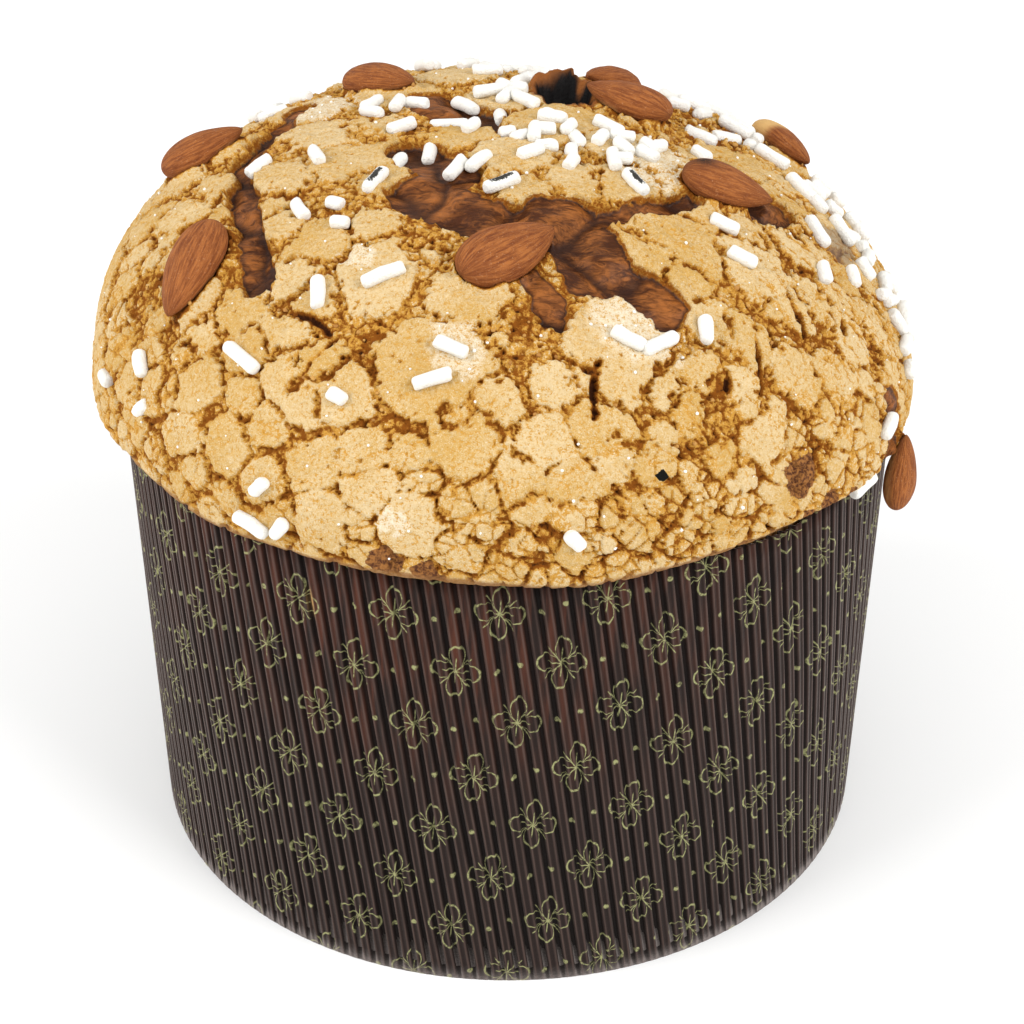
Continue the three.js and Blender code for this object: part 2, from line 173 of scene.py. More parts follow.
# Sugar rods that lie apart: azimuth, lift, turn, length
LONE_RODS = [
    (-84, 58, 134, 7), (-79, 67, 8, 7), (-57, 60, -10, 7), (-51, 64, 14, 4), (-43, 61, 28, 4),
    (-25, 54, 45, 9), (-35, 48, -57, 7.5), (-41, 32, -11, 10), (-59, 19, -36, 6), (-67, 9, 2, 5),
    (-56, 11, 51, 5), (-9, 43, -20, 7), (-11, 37, 24, 8), (-24, 31, -16, 4), (-51, 71, 113, 8),
    (-66, 77, 132, 6), (58, 55, -77, 6.5), (52, 49, -69, 6.5), (34, 41, -119, 6),
    (20, 43, -43, 7), (25, 41, 10, 8), (8, 8, -48, 4.5), (-33, 2, -14, 8), (-29, 3, 58, 5),
    (-32, 10, 54, 4.5), (94, 43, -143, 10), (87, 30, -31, 4.5), (52, 69, -116, 8),
    (-3, 76, 30, 8), (-30, 79, 91, 8), (-20, 81, 68, 7), (54, -15, 8, 8),
]
SCORCHED_RODS = (14, 27, 28)  # numbers in LONE_RODS
ROD_RADIUS = 1.45
ROD_RISE = 0.7
ROD_NEAR_ALMOND = 2.4
STREWN_TRIES = 260
STREWN_DOWN_TO = 7
STREWN_SHARE = 0.46
ROD_LENGTHS = (4, 8.5)
ROD_SIDES = 14

# Rings from either end of a rod to its middle: how far in, share of the radius
ROD_RINGS = [(0, 0), (0.04, 0.45), (0.16, 0.72), (0.42, 0.90), (0.85, 0.98), (1.5, 1)]

CRUMB_TRIES = 9000

# Crowded rods: azimuth and lift of the middle, how far they spread in millimetres, how many
ROD_CLUSTERS = [
    (168, 78, 9, 11), (60, 84, 8, 6), (75, 73, 7, 6), (-124, 72, 6, 6), (178, 61, 15, 9),
    (130, 46, 12, 9), (113, 46, 10, 8), (98, 36, 11, 7), (84, 27, 9, 7), (78, 17, 7, 5),
    (-126, 45, 9, 5),
]

# Mesh fineness, in millimetres between vertices
CRUST_STEP = 0.40
CRUST_BANDS = 4

# Rings of the hidden loaf: share of the way from the lip to the foot, number of vertices
LOAF_RINGS = [(1.0, 1), (1.0, 160), (0.7, 160), (0.2, 240), (0.06, 400), (0.025, 560),
              (0.01, 760)]
CASE_COLUMNS_PER_FLUTE = 16
CASE_RINGS = 26

# Small tear in the paper: radius, azimuth in degrees, height
CASE_TEAR = (84.6, -27.8, 95.0)

# Blossom lattice printed on the case: half-column turn, half-row drop and their shears
PRINT_START = (-0.0183, 98.96)
PRINT_TURN = 0.1259
PRINT_TURN_PER_ROW = 0.02023
PRINT_DROP = 13.63
OFF_LATTICE = 40.5
PRINT_RISE_PER_COLUMN = 1.048

# One blossom: sideways step of a lattice row and column, then its own shape
BLOSSOM_SHEAR = 1.7
BLOSSOM_STEP = 10.6
BLOSSOM_WIDTH = 0.80
BLOSSOM_TURN = 0.10
PETAL_LENGTH = 6.2
PETAL_ROUNDNESS = 0.62
DOT_DISTANCE = 8.3

# Small areas of colour that have no setting of their own
# Painted shade, near black, deep in cracks and holes
CRACK_SHADE = (0.045, 0.013, 0.004)
# Painted shade in the creases of the bare crust and painted shadow along the glaze edges in tears
CREASE_SHADE = (0.030, 0.010, 0.005)
FRUIT_DARK, FRUIT_LIGHT = (0.085, 0.030, 0.014), (0.30, 0.125, 0.035)
ASH = (0.23, 0.17, 0.12)
NECK_DARK, NECK_LIGHT = (0.10, 0.035, 0.014), (0.42, 0.20, 0.07)
CHARRED = (0.006, 0.006, 0.005)
BUBBLE_DARK, BUBBLE_LIGHT = (0.004, 0.003, 0.003), (0.26, 0.085, 0.018)
ALMOND_DUST = (0.60, 0.34, 0.18)
ALMOND_BURN = (0.012, 0.008, 0.006)
ALMOND_ICING = (0.66, 0.40, 0.15)
SUGAR_BRIGHT = (0.86, 0.845, 0.79)
SCORCH = (0.02, 0.018, 0.014)
CRUMB_DARK = (0.30, 0.12, 0.025)
SHEEN_TINT = (1.0, 0.86, 0.80, 1.0)
# Painted highlight on the shoulders of the flutes
RIDGE_HIGHLIGHT = (0.088, 0.056, 0.046)
# Painted shade in the valleys of the flutes
VALLEY_SHADE = (0.004, 0.0022, 0.0018)
BARE_CARD = (0.62, 0.36, 0.12)

# Noise that is drawn out: across the tears, and up the wall of the case
TEAR_STRETCH = (0.38, 0.9, 0.9)
STREAK_STRETCH = (0.42, 0.035, 1.0)

# Lights, in metres: place, then the side of each square
KEY_PLACE = (0.92, -0.62, 0.92)
FILL_PLACE = (-0.95, -0.35, 0.75)
LIGHT_SIDE = 0.9
LIGHT_AIM = (0.0, 0.0, 0.1)

# Camera of the photograph
CAMERA_PLACE = (0.854, -485.45, 380.35)
CAMERA_TILT = 57.267
CAMERA_LENS = 87.89
SENSOR_WIDTH = 36.0
NEAR_CLIP = 0.01


def length_setting(name, description, size, unit=MM):
    """Property that holds a length, given in millimetres unless another unit is named."""
    return bpy.props.FloatProperty(
        name=name, description=description, default=size * unit, unit="LENGTH")


def colour_setting(name, description, colour):
    """Property that holds a colour."""
    return bpy.props.FloatVectorProperty(
        name=name, description=description, default=colour, subtype="COLOR")


class CaseSettings(bpy.types.PropertyGroup):
    """Sizes and colours of the paper case."""

    base_radius: length_setting("Base radius", "Radius over the ridges at the foot",
                                CASE_BASE_RADIUS)
    top_radius: length_setting("Top radius", "Radius over the ridges at the rim",
                               CASE_TOP_RADIUS)
    flute_depth: length_setting("Flute depth", "From ridge to valley", VISIBLE_FLUTE)
    paper: colour_setting("Paper", "Dark brown of the paper", (0.0145, 0.0085, 0.0070))
    grease: colour_setting("Grease", "Reddish streaks where butter came through",
                           (0.072, 0.023, 0.013))
    print_ink: colour_setting("Ink", "Olive ink of the printed blossoms", (0.29, 0.29, 0.13))


class CrustSettings(bpy.types.PropertyGroup):
    """Sizes and colours of the glazed crust."""

    tear_depth: length_setting("Tear depth", "How far the brown crust lies below the glaze",
                               TEAR_DEPTH)
    glaze_light: colour_setting("Light glaze", "Palest plates", (0.64, 0.480, 0.262))
    glaze_deep: colour_setting("Deep glaze", "Most golden plates", (0.54, 0.330, 0.100))
    crumb_light: colour_setting("Light crumb", "High parts of the crumb between plates",
                                (0.54, 0.275, 0.046))
    crumb_deep: colour_setting("Deep crumb", "Pits of the crumb between plates",
                               (0.225, 0.068, 0.006))
    torn_light: colour_setting("Light torn crust", "Fibres of the bare crust",
                               (0.32, 0.105, 0.022))
    torn_deep: colour_setting("Deep torn crust", "Bare crust in the tears",
                              (0.060, 0.016, 0.0035))
    bloom: colour_setting("Bloom", "Powdery white on some plates", (0.76, 0.68, 0.53))


class ToppingSettings(bpy.types.PropertyGroup):
    """Sizes and colours of the almonds, the sugar rods and the crumbs."""

    rod_radius: length_setting("Rod radius", "Radius of a sugar rod", ROD_RADIUS)
    sugar: colour_setting("Sugar", "White of the rods and grains", (0.81, 0.795, 0.745))
    almond_light: colour_setting("Light almond", "Raised lines of the skin",
                                 (0.385, 0.130, 0.032))
    almond_deep: colour_setting("Deep almond", "Furrows of the skin", (0.175, 0.046, 0.012))
    crumb: colour_setting("Crumbs", "Loose bits of glaze", (0.58, 0.33, 0.09))


class StageSettings(bpy.types.PropertyGroup):
    """Floor, lights and camera."""

    floor_side: length_setting("Floor side", "Side of the square floor", 8.0, unit=1.0)
    floor: colour_setting("Floor", "Pale floor", (0.90, 0.90, 0.895))
    key_power: bpy.props.FloatProperty(
        name="Key light", description="Power of the large light on the right, in watts",
        default=15.0)
    fill_power: bpy.props.FloatProperty(
        name="Fill light", description="Power of the light on the left, in watts",
        default=11.5)
    sky: bpy.props.FloatProperty(
        name="Surround", description="Strength of the white surround", default=0.76)


def smooth(low, high, x):
    """Smooth step from 0 at low to 1 at high."""
    t = np.clip((x - low) / (high - low), 0, 1)
    return t * t * (3 - 2 * t)


def lerp(a, b, t):
    """Straight mix of a and b."""
    return a + (b - a) * t


def fraction(x):
    """What is left of x above its whole part."""
    return x - np.floor(x)


def bell(azimuth, at, spread):
    """Bell curve in azimuth, given in radians, around a place given in degrees."""
    off = azimuth - math.radians(at)
    off = np.arctan2(np.sin(off), np.cos(off))
    return np.exp(-((off / math.radians(spread)) ** 2))


def lip_height(azimuth):
    """Height of the crown's lower edge: a constant with two soft rises."""
    return LIP_HEIGHT + sum(rise * bell(azimuth, at, spread) for at, spread, rise in LIP_RISES)


def rim_height(azimuth):
    """Height of the case's rim, just below the lip, with a dip at the right."""
    at, spread, depth = RIM_DIP
    return lip_height(azimuth) - RIM_CLEARANCE - depth * bell(azimuth, at, spread)


def case_radius(z):
    """Radius over the ridges: a straight line from foot to lip."""
    return CASE_BASE_RADIUS + (CASE_TOP_RADIUS - CASE_BASE_RADIUS) * z / LIP_HEIGHT


def loaf_radius(z):
    """Radius of the loaf inside the case."""
    return case_radius(z) - FLUTE_DEPTH - PAPER_WALL - LOAF_CLEARANCE


def polar(radius, azimuth, z):
    """Points from radius, azimuth and height."""
    z = np.broadcast_to(z, np.shape(azimuth))
    return np.stack([radius * np.sin(azimuth), -radius * np.cos(azimuth), z], axis=-1)


def crown_point(azimuth, lift):
    """Crown without relief.

    Above its waist the section is a superellipse quarter: radius = widest cos^p and
    height = waist + (top - waist) sin^p of the lift. Below it is an ellipse quarter that
    turns in to the neck. Widest radius, waist height and p change with azimuth as a
    constant plus sine and cosine terms.
    """
    right, front = np.sin(azimuth), np.cos(azimuth)
    widest = CROWN_RADIUS[0] + CROWN_RADIUS[1] * right + CROWN_RADIUS[2] * front
    waist = CROWN_WAIST[0] + CROWN_WAIST[1] * right + CROWN_WAIST[2] * front
    power = 2 / (CROWN_SQUARENESS[0] + CROWN_SQUARENESS[1] * right)
    c, s = np.abs(np.cos(lift)), np.abs(np.sin(lift))
    lip = lip_height(azimuth)
    neck = loaf_radius(lip)
    above = lift >= 0
    radius = np.where(above, widest * c**power, neck + (widest - neck) * c)
    z = np.where(above, waist + (CROWN_TOP - waist) * s**power, waist - (waist - lip) * s)
    return polar(radius, azimuth, z)


def unit(vectors):
    """Vectors scaled to length 1."""
    return vectors / np.linalg.norm(vectors, axis=-1, keepdims=True)


def crown_frame(azimuth, lift):
    """Point, east, uphill and outward directions of the plain crown, by small steps."""
    step = 0.001
    low = np.minimum(lift, math.pi / 2 - 2 * step)
    point = crown_point(azimuth, low)
    east = unit(crown_point(azimuth + step, low) - point)
    uphill = crown_point(azimuth, low + step) - point
    uphill = unit(uphill - east * np.sum(uphill * east, axis=-1, keepdims=True))
    return point, east, uphill, np.cross(east, uphill)


def noise(points, size, seed=0):
    """Smooth random field from -1 to 1 with features about size across.

    Every corner of a cubic lattice gets a random value from its whole coordinates, and
    the field runs smoothly between the eight corners around a point.
    """
    p = np.asarray(points) / size + seed * 17.37
    cell = np.floor(p).astype(np.int64)
    f = p - cell
    f = f * f * (3 - 2 * f)
    total = np.zeros(len(p))
    for corner in range(8):
        bit = np.array([(corner >> k) & 1 for k in range(3)])
        h = cell + bit
        n = (h[:, 0] * HASH_X + h[:, 1] * HASH_Y + h[:, 2] * HASH_Z) & HASH_MASK
        n = ((n ^ (n >> 13)) * HASH_MIX) & HASH_MASK
        value = ((n ^ (n >> 16)) & 0xFFFF) / 32767.5 - 1
        total += value * np.prod(np.where(bit, f, 1 - f), axis=1)
    return total


def degrees_point(azimuth, lift):
    """Points of the plain crown from degrees."""
    return crown_point(*(np.radians(np.asarray(v, float)) for v in (azimuth, lift)))


def spot_share(points, spots, wobble):
    """1 inside any of the spots, 0 outside, with edges moved by wobble in millimetres."""
    share = np.zeros(len(points))
    for azimuth, lift, radius in spots:
        gap = np.linalg.norm(points - degrees_point(azimuth, lift), axis=1) + wobble
        share = np.maximum(share, smooth(1.12 * radius, 0.72 * radius, gap))
    return share


def depth_in_lines(points, lines):
    """Depth inside the nearest widened line, less than 0 outside it."""
    depth = np.full(len(points), -99.0)
    for a0, l0, a1, l1, half in lines:
        start, end = degrees_point(a0, l0), degrees_point(a1, l1)
        run = end - start
        t = np.clip((points - start) @ run / (run @ run), 0, 1)
        gap = np.linalg.norm(points - start - t[:, None] * run, axis=1)
        depth = np.maximum(depth, half - gap)
    return depth


def local_plate_radius(azimuth, lift):
    """Half the distance between plates by rule: small low down on the right, large on top."""
    degrees = np.degrees(lift)
    radius = 2.5 + 1.9 * smooth(8, 30, degrees) + 2.6 * smooth(35, 70, degrees)
    radius = radius + 1.1 * smooth(0.2, -0.9, np.sin(azimuth)) * smooth(-5, 10, degrees)
    return radius - 0.5 * bell(azimuth, 45, 40) * smooth(35, 10, degrees)


def plate_seeds():
    """Seeds of all glaze plates.

    The plates seen apart come first. Then evenly spread places on the crown are tried in
    order, and one is kept where no seed lies closer than the sum of both radii.
    """
    known = np.array(PLATES, float)
    azimuth, lift, radius = np.radians(known[:, 0]), np.radians(known[:, 1]), known[:, 2]
    place = crown_point(azimuth, lift)
    i = np.arange(PLATE_TRIES)
    order = fraction(i * PLATE_STEP)
    height = 1 - 2 * order
    try_azimuth = i * GOLDEN_ANGLE
    try_lift = np.where(height >= 0, np.arcsin(np.abs(height) ** 1.25),
                        -np.pi / 2 * np.minimum(-height * 4, 2))
    keep = try_lift > -math.pi / 2
    try_azimuth, try_lift, i = try_azimuth[keep], try_lift[keep], i[keep]
    try_place = crown_point(try_azimuth, try_lift)
    draw = fraction(i * STEP_B)
    try_radius = local_plate_radius(try_azimuth, try_lift) * lerp(0.75, 1.3, draw)
    azimuths, lifts = list(azimuth), list(lift)
    count = len(place)
    taken = np.zeros((count + len(try_place), 3))
    size = np.zeros(len(taken))
    taken[:count], size[:count] = place, radius
    for point, reach, a, l in zip(try_place, try_radius, try_azimuth, try_lift):
        gap = np.linalg.norm(taken[:count] - point, axis=1)
        if np.all(gap > 0.97 * (size[:count] + reach)):
            taken[count], size[count] = point, reach
            azimuths.append(a)
            lifts.append(l)
            count += 1
    azimuths, lifts = np.array(azimuths), np.array(lifts)
    degrees, number = np.degrees(lifts), np.arange(count)
    bare_chance = 0.05 + 0.34 * smooth(22, 40, degrees) - 0.1 * smooth(60, 80, degrees)
    bare = (number >= len(known)) & (fraction(number * STEP_C + 0.37) < bare_chance)
    sides = 0.5 * bell(azimuths, 85, 38) + 0.4 * bell(azimuths, -88, 22)
    squeeze = 1 - sides * smooth(5, 20, degrees)
    _, _, uphill, _ = crown_frame(azimuths, lifts)
    return {"place": taken[:count], "radius": size[:count], "bare": bare, "squeeze": squeeze,
            "uphill": uphill, "tint": fraction(number * STEP_A + 0.1)}


def nearest_plates(points, seeds):
    """Nearest seed of each point, the distance to the next cell and the one to its own rim.

    The distance to a seed has the seed's radius taken off, and counts less along the
    seed's uphill direction where the seed is squeezed, which makes its cell long.
    """
    place = seeds["place"].astype(np.float32)
    uphill = seeds["uphill"].astype(np.float32)
    stretch = (1 - seeds["squeeze"] ** 2).astype(np.float32)
    own = np.sum(place**2, axis=1)
    own_up = np.sum(place * uphill, axis=1)
    reach = 0.92 * seeds["radius"].astype(np.float32)
    nearest = np.empty(len(points), int)
    border, off_rim = np.empty(len(points)), np.empty(len(points))
    for start in range(0, len(points), POINTS_AT_ONCE):
        part = slice(start, start + POINTS_AT_ONCE)
        p = points[part].astype(np.float32)
        square = np.sum(p * p, axis=1)[:, None] - 2 * p @ place.T + own
        square -= stretch * (p @ uphill.T - own_up) ** 2
        gap = np.sqrt(np.maximum(square, 0)) - reach
        first = gap.argmin(axis=1)
        rows = np.arange(len(p))
        low = gap[rows, first].copy()
        gap[rows, first] = np.inf
        nearest[part], off_rim[part] = first, low
        border[part] = (gap.min(axis=1) - low) / 2
    return nearest, border, off_rim


def almond_half_width(along, length, width):
    """Half width of an almond at a distance along its axis, positive towards its tip."""
    u = np.clip(along / length + 0.5, 0, 1)
    return width / 2 * np.sin(np.pi * u**0.7).clip(0) ** 0.66


def almond_seats():
    """Where the almonds lie: the directions by rule, the middle from the CAD node itself."""
    seats = []
    for number, (azimuth, lift, turn, length, width) in enumerate(ALMONDS, start=1):
        _, east, uphill, out = (v[0] for v in crown_frame(
            np.radians([float(azimuth)]), np.radians([float(lift)])))
        turn = math.radians(turn)
        along = east * math.cos(turn) + uphill * math.sin(turn)
        axes = np.array([along, np.cross(out, along), out])
        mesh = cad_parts[f"almond_{number}"].data
        co = np.empty(len(mesh.vertices) * 3)
        mesh.vertices.foreach_get("co", co)
        local = (co.reshape(-1, 3) / MM) @ axes.T
        middle = (local.min(axis=0) + local.max(axis=0)) / 2 @ axes
        seats.append({"name": f"almond_{number}", "middle": middle, "axes": axes,
                      "length": length, "width": width})
    return seats


def hashed(cell, seed):
    """Three random numbers from 0 to 1 for whole lattice coordinates."""
    n = cell[:, 0] * HASH_X + cell[:, 1] * HASH_Y + cell[:, 2] * HASH_Z + seed * HASH_SEED
    n = (n ^ (n >> 17)) * LONG_MIX_1
    n = (n ^ (n >> 29)) * LONG_MIX_2
    return tuple(((n >> shift) & 0xFFFF) / 0xFFFF for shift in (12, 28, 44))


def fragments(points, size, seed, where=None):
    """Cells around one random seed in every cube of a lattice.

    Returns how far the border is, as second minus first distance in cell sizes, the
    distance to the seed, and a random value for each cell. Outside `where` it is 0, 1, 0.
    """
    border, middle, draw = np.zeros(len(points)), np.ones(len(points)), np.zeros(len(points))
    where = np.ones(len(points), bool) if where is None else where
    p = points[where] / size + seed * 5.31
    cell = np.floor(p).astype(np.int64)
    first, second, pick = np.full(len(p), 9.0), np.full(len(p), 9.0), np.zeros(len(p))
    for offset in np.ndindex(3, 3, 3):
        cube = cell + (np.array(offset) - 1)
        r = hashed(cube, seed)
        gap = sum((cube[:, k] + r[k] - p[:, k]) ** 2 for k in range(3))
        closer = gap < first
        second = np.where(closer, first, np.minimum(second, gap))
        pick = np.where(closer, fraction(r[0] * 7 + r[1] * 3), pick)
        first = np.minimum(first, gap)
    first, second = np.sqrt(first), np.sqrt(second)
    border[where], middle[where], draw[where] = second - first, first, pick
    return border, middle, draw


def crust_relief(azimuth, lift, seeds, seats, tear_depth):
    """Crust with relief, and the fields that its colours need.

    Height over the plain crown = lumps + swellings + burst bubble + the level of the
    nearest plate - a share of how far the place is sunk. Sunk are the gaps between the
    plates' ragged borders, with smaller pieces, granules and holes in them, and cracks,
    crackle, pits and furrows. In a tear the glaze is gone, and brown crust lies bare in
    soft cushions. Around an almond the crust rises to its edge and dips under it.
    """
    point, _, _, out = crown_frame(azimuth, lift)
    degrees = np.degrees(lift)
    x, y, z = point.T
    lumps = LUMP_HEIGHT * (np.sin(x / 13 + 0.5) * np.sin(y / 15 + 1.1)
                           + 0.6 * np.sin(x / 7.3 + z / 9) * np.sin(y / 8.1))
    swell = sum(rise * bell(azimuth, at, spread) * np.exp(-(((degrees - up) / spread) ** 2))
                for at, up, spread, rise in SWELLS)
    off = (point - degrees_point(*BUBBLE["at"])) / BUBBLE["radius"]
    gap = np.linalg.norm(off, axis=1) + 0.10 * noise(point, 3.0, 5)
    arch = smooth(-0.1, 0.9, off[:, 1]) * (1 + 0.3 * noise(point, 2.6, 16))
    bubble = BUBBLE["rim"] * arch * np.exp(-(((gap - 1.0) / 0.24) ** 2)) \
        - BUBBLE["depth"] * smooth(0.95, 0.6, gap)

    upper = smooth(12, 40, degrees)
    warp = np.stack([noise(point, 6.5, s) for s in (11, 12, 13)], axis=1)
    nearest, border, off_rim = nearest_plates(point + 1.5 * warp, seeds)
    radius = seeds["radius"][nearest]
    tint = seeds["tint"][nearest]
    gap_width = lerp(*GAP_WIDTH, upper) * (1 - 0.55 * bell(azimuth, 60, 45))
    gap_width = gap_width * (1 + 0.7 * noise(point, 11, 3))
    corner = 0.16 * radius + lerp(1.5, 0.35, upper) - off_rim
    plate = -0.55 * np.log(np.exp((gap_width - border) / 0.55) + np.exp(-corner / 0.55))
    ragged = 0.5 * noise(point, 2.6, 1) + 0.5 * noise(point, 1.4, 2) + 0.4 * noise(point, 0.8, 9)
    no_plate = -0.5 - 0.8 * noise(point, 3.2, 4) - 0.2 * np.minimum(border, 2)
    plate = np.where(seeds["bare"][nearest], no_plate, plate)
    plate = plate + ragged * lerp(*RAGGEDNESS, upper)
    at_edge = np.abs(plate) < CHIP_REACH
    _, _, chip = fragments(point + 0.5 * warp, CHIP_SIZE, 6, at_edge)
    plate = plate + (chip - 0.5) * lerp(*CHIPPING, upper) * at_edge

    wander = 1.6 * noise(point, 5.5, 6) + 0.9 * noise(point, 1.9, 7) + 0.4 * noise(point, 0.9, 8)
    tear = depth_in_lines(point, TEARS) + wander
    crack = depth_in_lines(point + 1.3 * warp, CRACKS)
    crack = crack + 0.4 * noise(point, 3.4, 8) + 0.35 * noise(point, 1.2, 10)
    plate = np.minimum(plate, -crack - 0.1)
    gap_share = smooth(0.25, -0.35, plate)
    in_gap = plate < 0.4
    piece, _, piece_draw = fragments(point + 0.7 * warp, PIECE_SIZE, 1, in_gap)
    granule, _, granule_draw = fragments(point, GRANULE_SIZE, 2, in_gap)
    _, hole, hole_draw = fragments(point + 0.3 * warp, HOLE_SIZE, 5, in_gap)
    hole = smooth(0.34, 0.16, hole) * (hole_draw < 0.45)
    edge = np.exp(-(((plate + 0.2) / 0.32) ** 2)) * smooth(-0.5, 0.3, noise(point, 3.3, 25))
    floor = lerp(0.20, 0.10, upper) + 0.34 * upper * smooth(0.15, 0.6, noise(point, 8.0, 26))
    crumb = floor + PIECE_DEPTH * smooth(0.20, 0.03, piece) + 0.20 * piece_draw \
        + GRANULE_DEPTH * smooth(0.4, 0, granule) * granule_draw + HOLE_DEPTH * hole * upper
    sunk = gap_share * crumb + 0.5 * edge * lerp(0.6, 1, upper)
    sunk = sunk + CRACK_DEPTH * smooth(-0.1, 0.7, crack)

    low = smooth(38, 20, degrees) * (0.45 + 0.55 * bell(azimuth, 45, 60)) \
        + 0.6 * bell(azimuth, -80, 40) * smooth(44, 12, degrees)
    low = np.clip(low, 0, 1) * smooth(-9, 3, degrees) * lerp(0.3, 1, smooth(5.0, 3.0, radius))
    crackle, _, crackle_draw = fragments(point + 0.9 * warp, CRACKLE_SIZE, 3, low > 0.05)
    crackle = smooth(0.13, 0.02, crackle) * low * smooth(-0.55, 0.0, noise(point, 4.2, 27))
    _, pit, pit_draw = fragments(point, PIT_SIZE, 4)
    pit = smooth(0.24, 0.10, pit) * (pit_draw < lerp(0.10, 0.42, upper))
    wrinkled = np.stack([azimuth * 34, degrees / 7.5, np.zeros_like(lift)], axis=1)
    side = bell(azimuth, 84, 34) * smooth(8, 22, degrees) * smooth(70, 58, degrees)
    furrow = np.abs(noise(wrinkled, 1.0, 24) + 0.2 * noise(point, 1.5, 28))
    furrow = smooth(0.14, 0.0, furrow) * side
    sunk = sunk + CRACKLE_DEPTH * crackle + PIT_DEPTH * pit + FURROW_DEPTH * furrow

    seat_gap = np.full(len(point), 9.0)
    level = (PLATE_LEVEL + PLATE_LEVEL_PER_RADIUS * radius) * (0.8 + 0.5 * tint)
    level = level * smooth(-0.6, 0.35, plate)
    level = level + 0.10 * (1 - np.exp(-np.maximum(plate, 0) / 2.5))
    lip_curl = 0.5 * np.exp(-(((tear + 0.9) / 0.8) ** 2)) * smooth(-0.3, 0.5, noise(point, 6, 31))
    granular = 0.13 * noise(point, 2.0, 23) + 0.17 * noise(point, 0.95, 29)
    granular = granular * lerp(0.9, 1.6, upper)
    glaze = level - SUNK_SHARE * sunk + lip_curl + granular
    cushion, _, _ = fragments(point + 2.5 * warp, CUSHION_SIZE, 7, tear > -1.5)
    # Share of painted shade in the creases between cushions
    crease = smooth(0.16, 0.0, cushion)
    fibre = noise(point @ np.diag([1 / 3.0, 1 / 1.4, 1 / 3.0]) + 0.8 * warp, 1.0, 33)
    skin = CUSHION_RISE * smooth(-0.1, 0.5, cushion) + 0.55 * noise(point, 4.2, 32)
    skin = skin + 0.16 * fibre
    torn = smooth(-0.5, 0.7, tear)
    height = lumps + swell + bubble + lerp(glaze, skin - tear_depth, torn)
    height = height * smooth(-75, -5, degrees)

    placed = point + out * height[:, None]
    for seat in seats:
        near = np.linalg.norm(placed - seat["middle"], axis=1) < seat["length"]
        local = (placed[near] - seat["middle"]) @ seat["axes"].T
        half = almond_half_width(local[:, 0], seat["length"], seat["width"])
        beyond = np.maximum(np.abs(local[:, 1]) - half, np.abs(local[:, 0]) - seat["length"] / 2)
        rise = 0.9 * np.exp(-(((beyond + 0.1) / 1.2) ** 2)) * (1 + noise(point[near], 4.0, 41))
        local[:, 2] += rise
        under = -ALMOND_THICKNESS * np.sqrt(np.maximum(half**2 - local[:, 1] ** 2, 0))
        inside = beyond < 0
        local[:, 2] = np.where(inside, np.minimum(local[:, 2], under - 0.25), local[:, 2])
        placed[near] = local @ seat["axes"] + seat["middle"]
        seat_gap[near] = np.minimum(seat_gap[near], beyond)
    # Painted shade where the crust meets an almond: only the colour field is raised, the height is
    # set
    sunk = np.maximum(sunk, SEAT_SHADE * smooth(0.7, 0.0, seat_gap + 0.3 * ragged))

    wobble = 1.3 * noise(point, 3.5, 51) + 0.6 * noise(point, 1.3, 53)
    fields = {
        "sunk": sunk,
        "tint": tint,
        "tear": tear,
        "fibre": fibre,
        "crease": crease,
        "grit": lerp((crackle_draw - 0.5) * low, granule_draw - 0.5, gap_share),
        "brown": spot_share(point, BROWN_SPOTS, wobble),
        "ash": spot_share(point, ASH_SPOTS, wobble),
        "black": spot_share(point, BLACK_SPOTS, 0.6 * noise(point, 1.1, 54)),
        "bloom": spot_share(point, BLOOMS, 2 * wobble),
        "blister": smooth(1.2, 0.95, gap - 0.25 * arch),
        "arch": smooth(0.84, 0.98, gap + 0.14 * noise(point, 1.8, 17)),
        "under": smooth(-2, -16, degrees + 4 * noise(point, 6, 52)),
    }
    return placed, fields


def stitch(low_start, low_count, high_start, high_count):
    """Triangles between two rings of different counts, the first one below the second.

    Steps along both rings are taken in order of their turn, the lower ring first.
    """
    turn = np.concatenate([np.arange(1, low_count + 1) / low_count,
                           np.arange(1, high_count + 1) / high_count])
    on_low = np.arange(low_count + high_count) < low_count
    step_low = on_low[np.argsort(turn, kind="stable")]
    i = np.cumsum(step_low) - step_low
    j = np.cumsum(~step_low) - ~step_low
    a = low_start + i % low_count
    b = high_start + j % high_count
    third = np.where(step_low, low_start + (i + 1) % low_count,
                     high_start + (j + 1) % high_count)
    faces = np.stack([a, third, b], axis=1)
    distinct = (faces[:, 0] != faces[:, 1]) & (faces[:, 1] != faces[:, 2])
    return faces[distinct & (faces[:, 0] != faces[:, 2])]


def stitch_rings(counts, start=0):
    """Strips of triangles between rings of these counts that follow one another."""
    starts = start + np.concatenate([[0], np.cumsum(counts)])
    return [stitch(starts[k], counts[k], starts[k + 1], counts[k + 1])
            for k in range(len(counts) - 1)], starts


def vertex_normals(points, faces):
    """Outward normals from the areas of the triangles around each vertex."""
    corners = points[faces]
    across = np.cross(corners[:, 1] - corners[:, 0], corners[:, 2] - corners[:, 0])
    total = np.stack([
        sum(np.bincount(faces[:, k], across[:, axis], len(points)) for k in range(3))
        for axis in range(3)], axis=1)
    return unit(total)


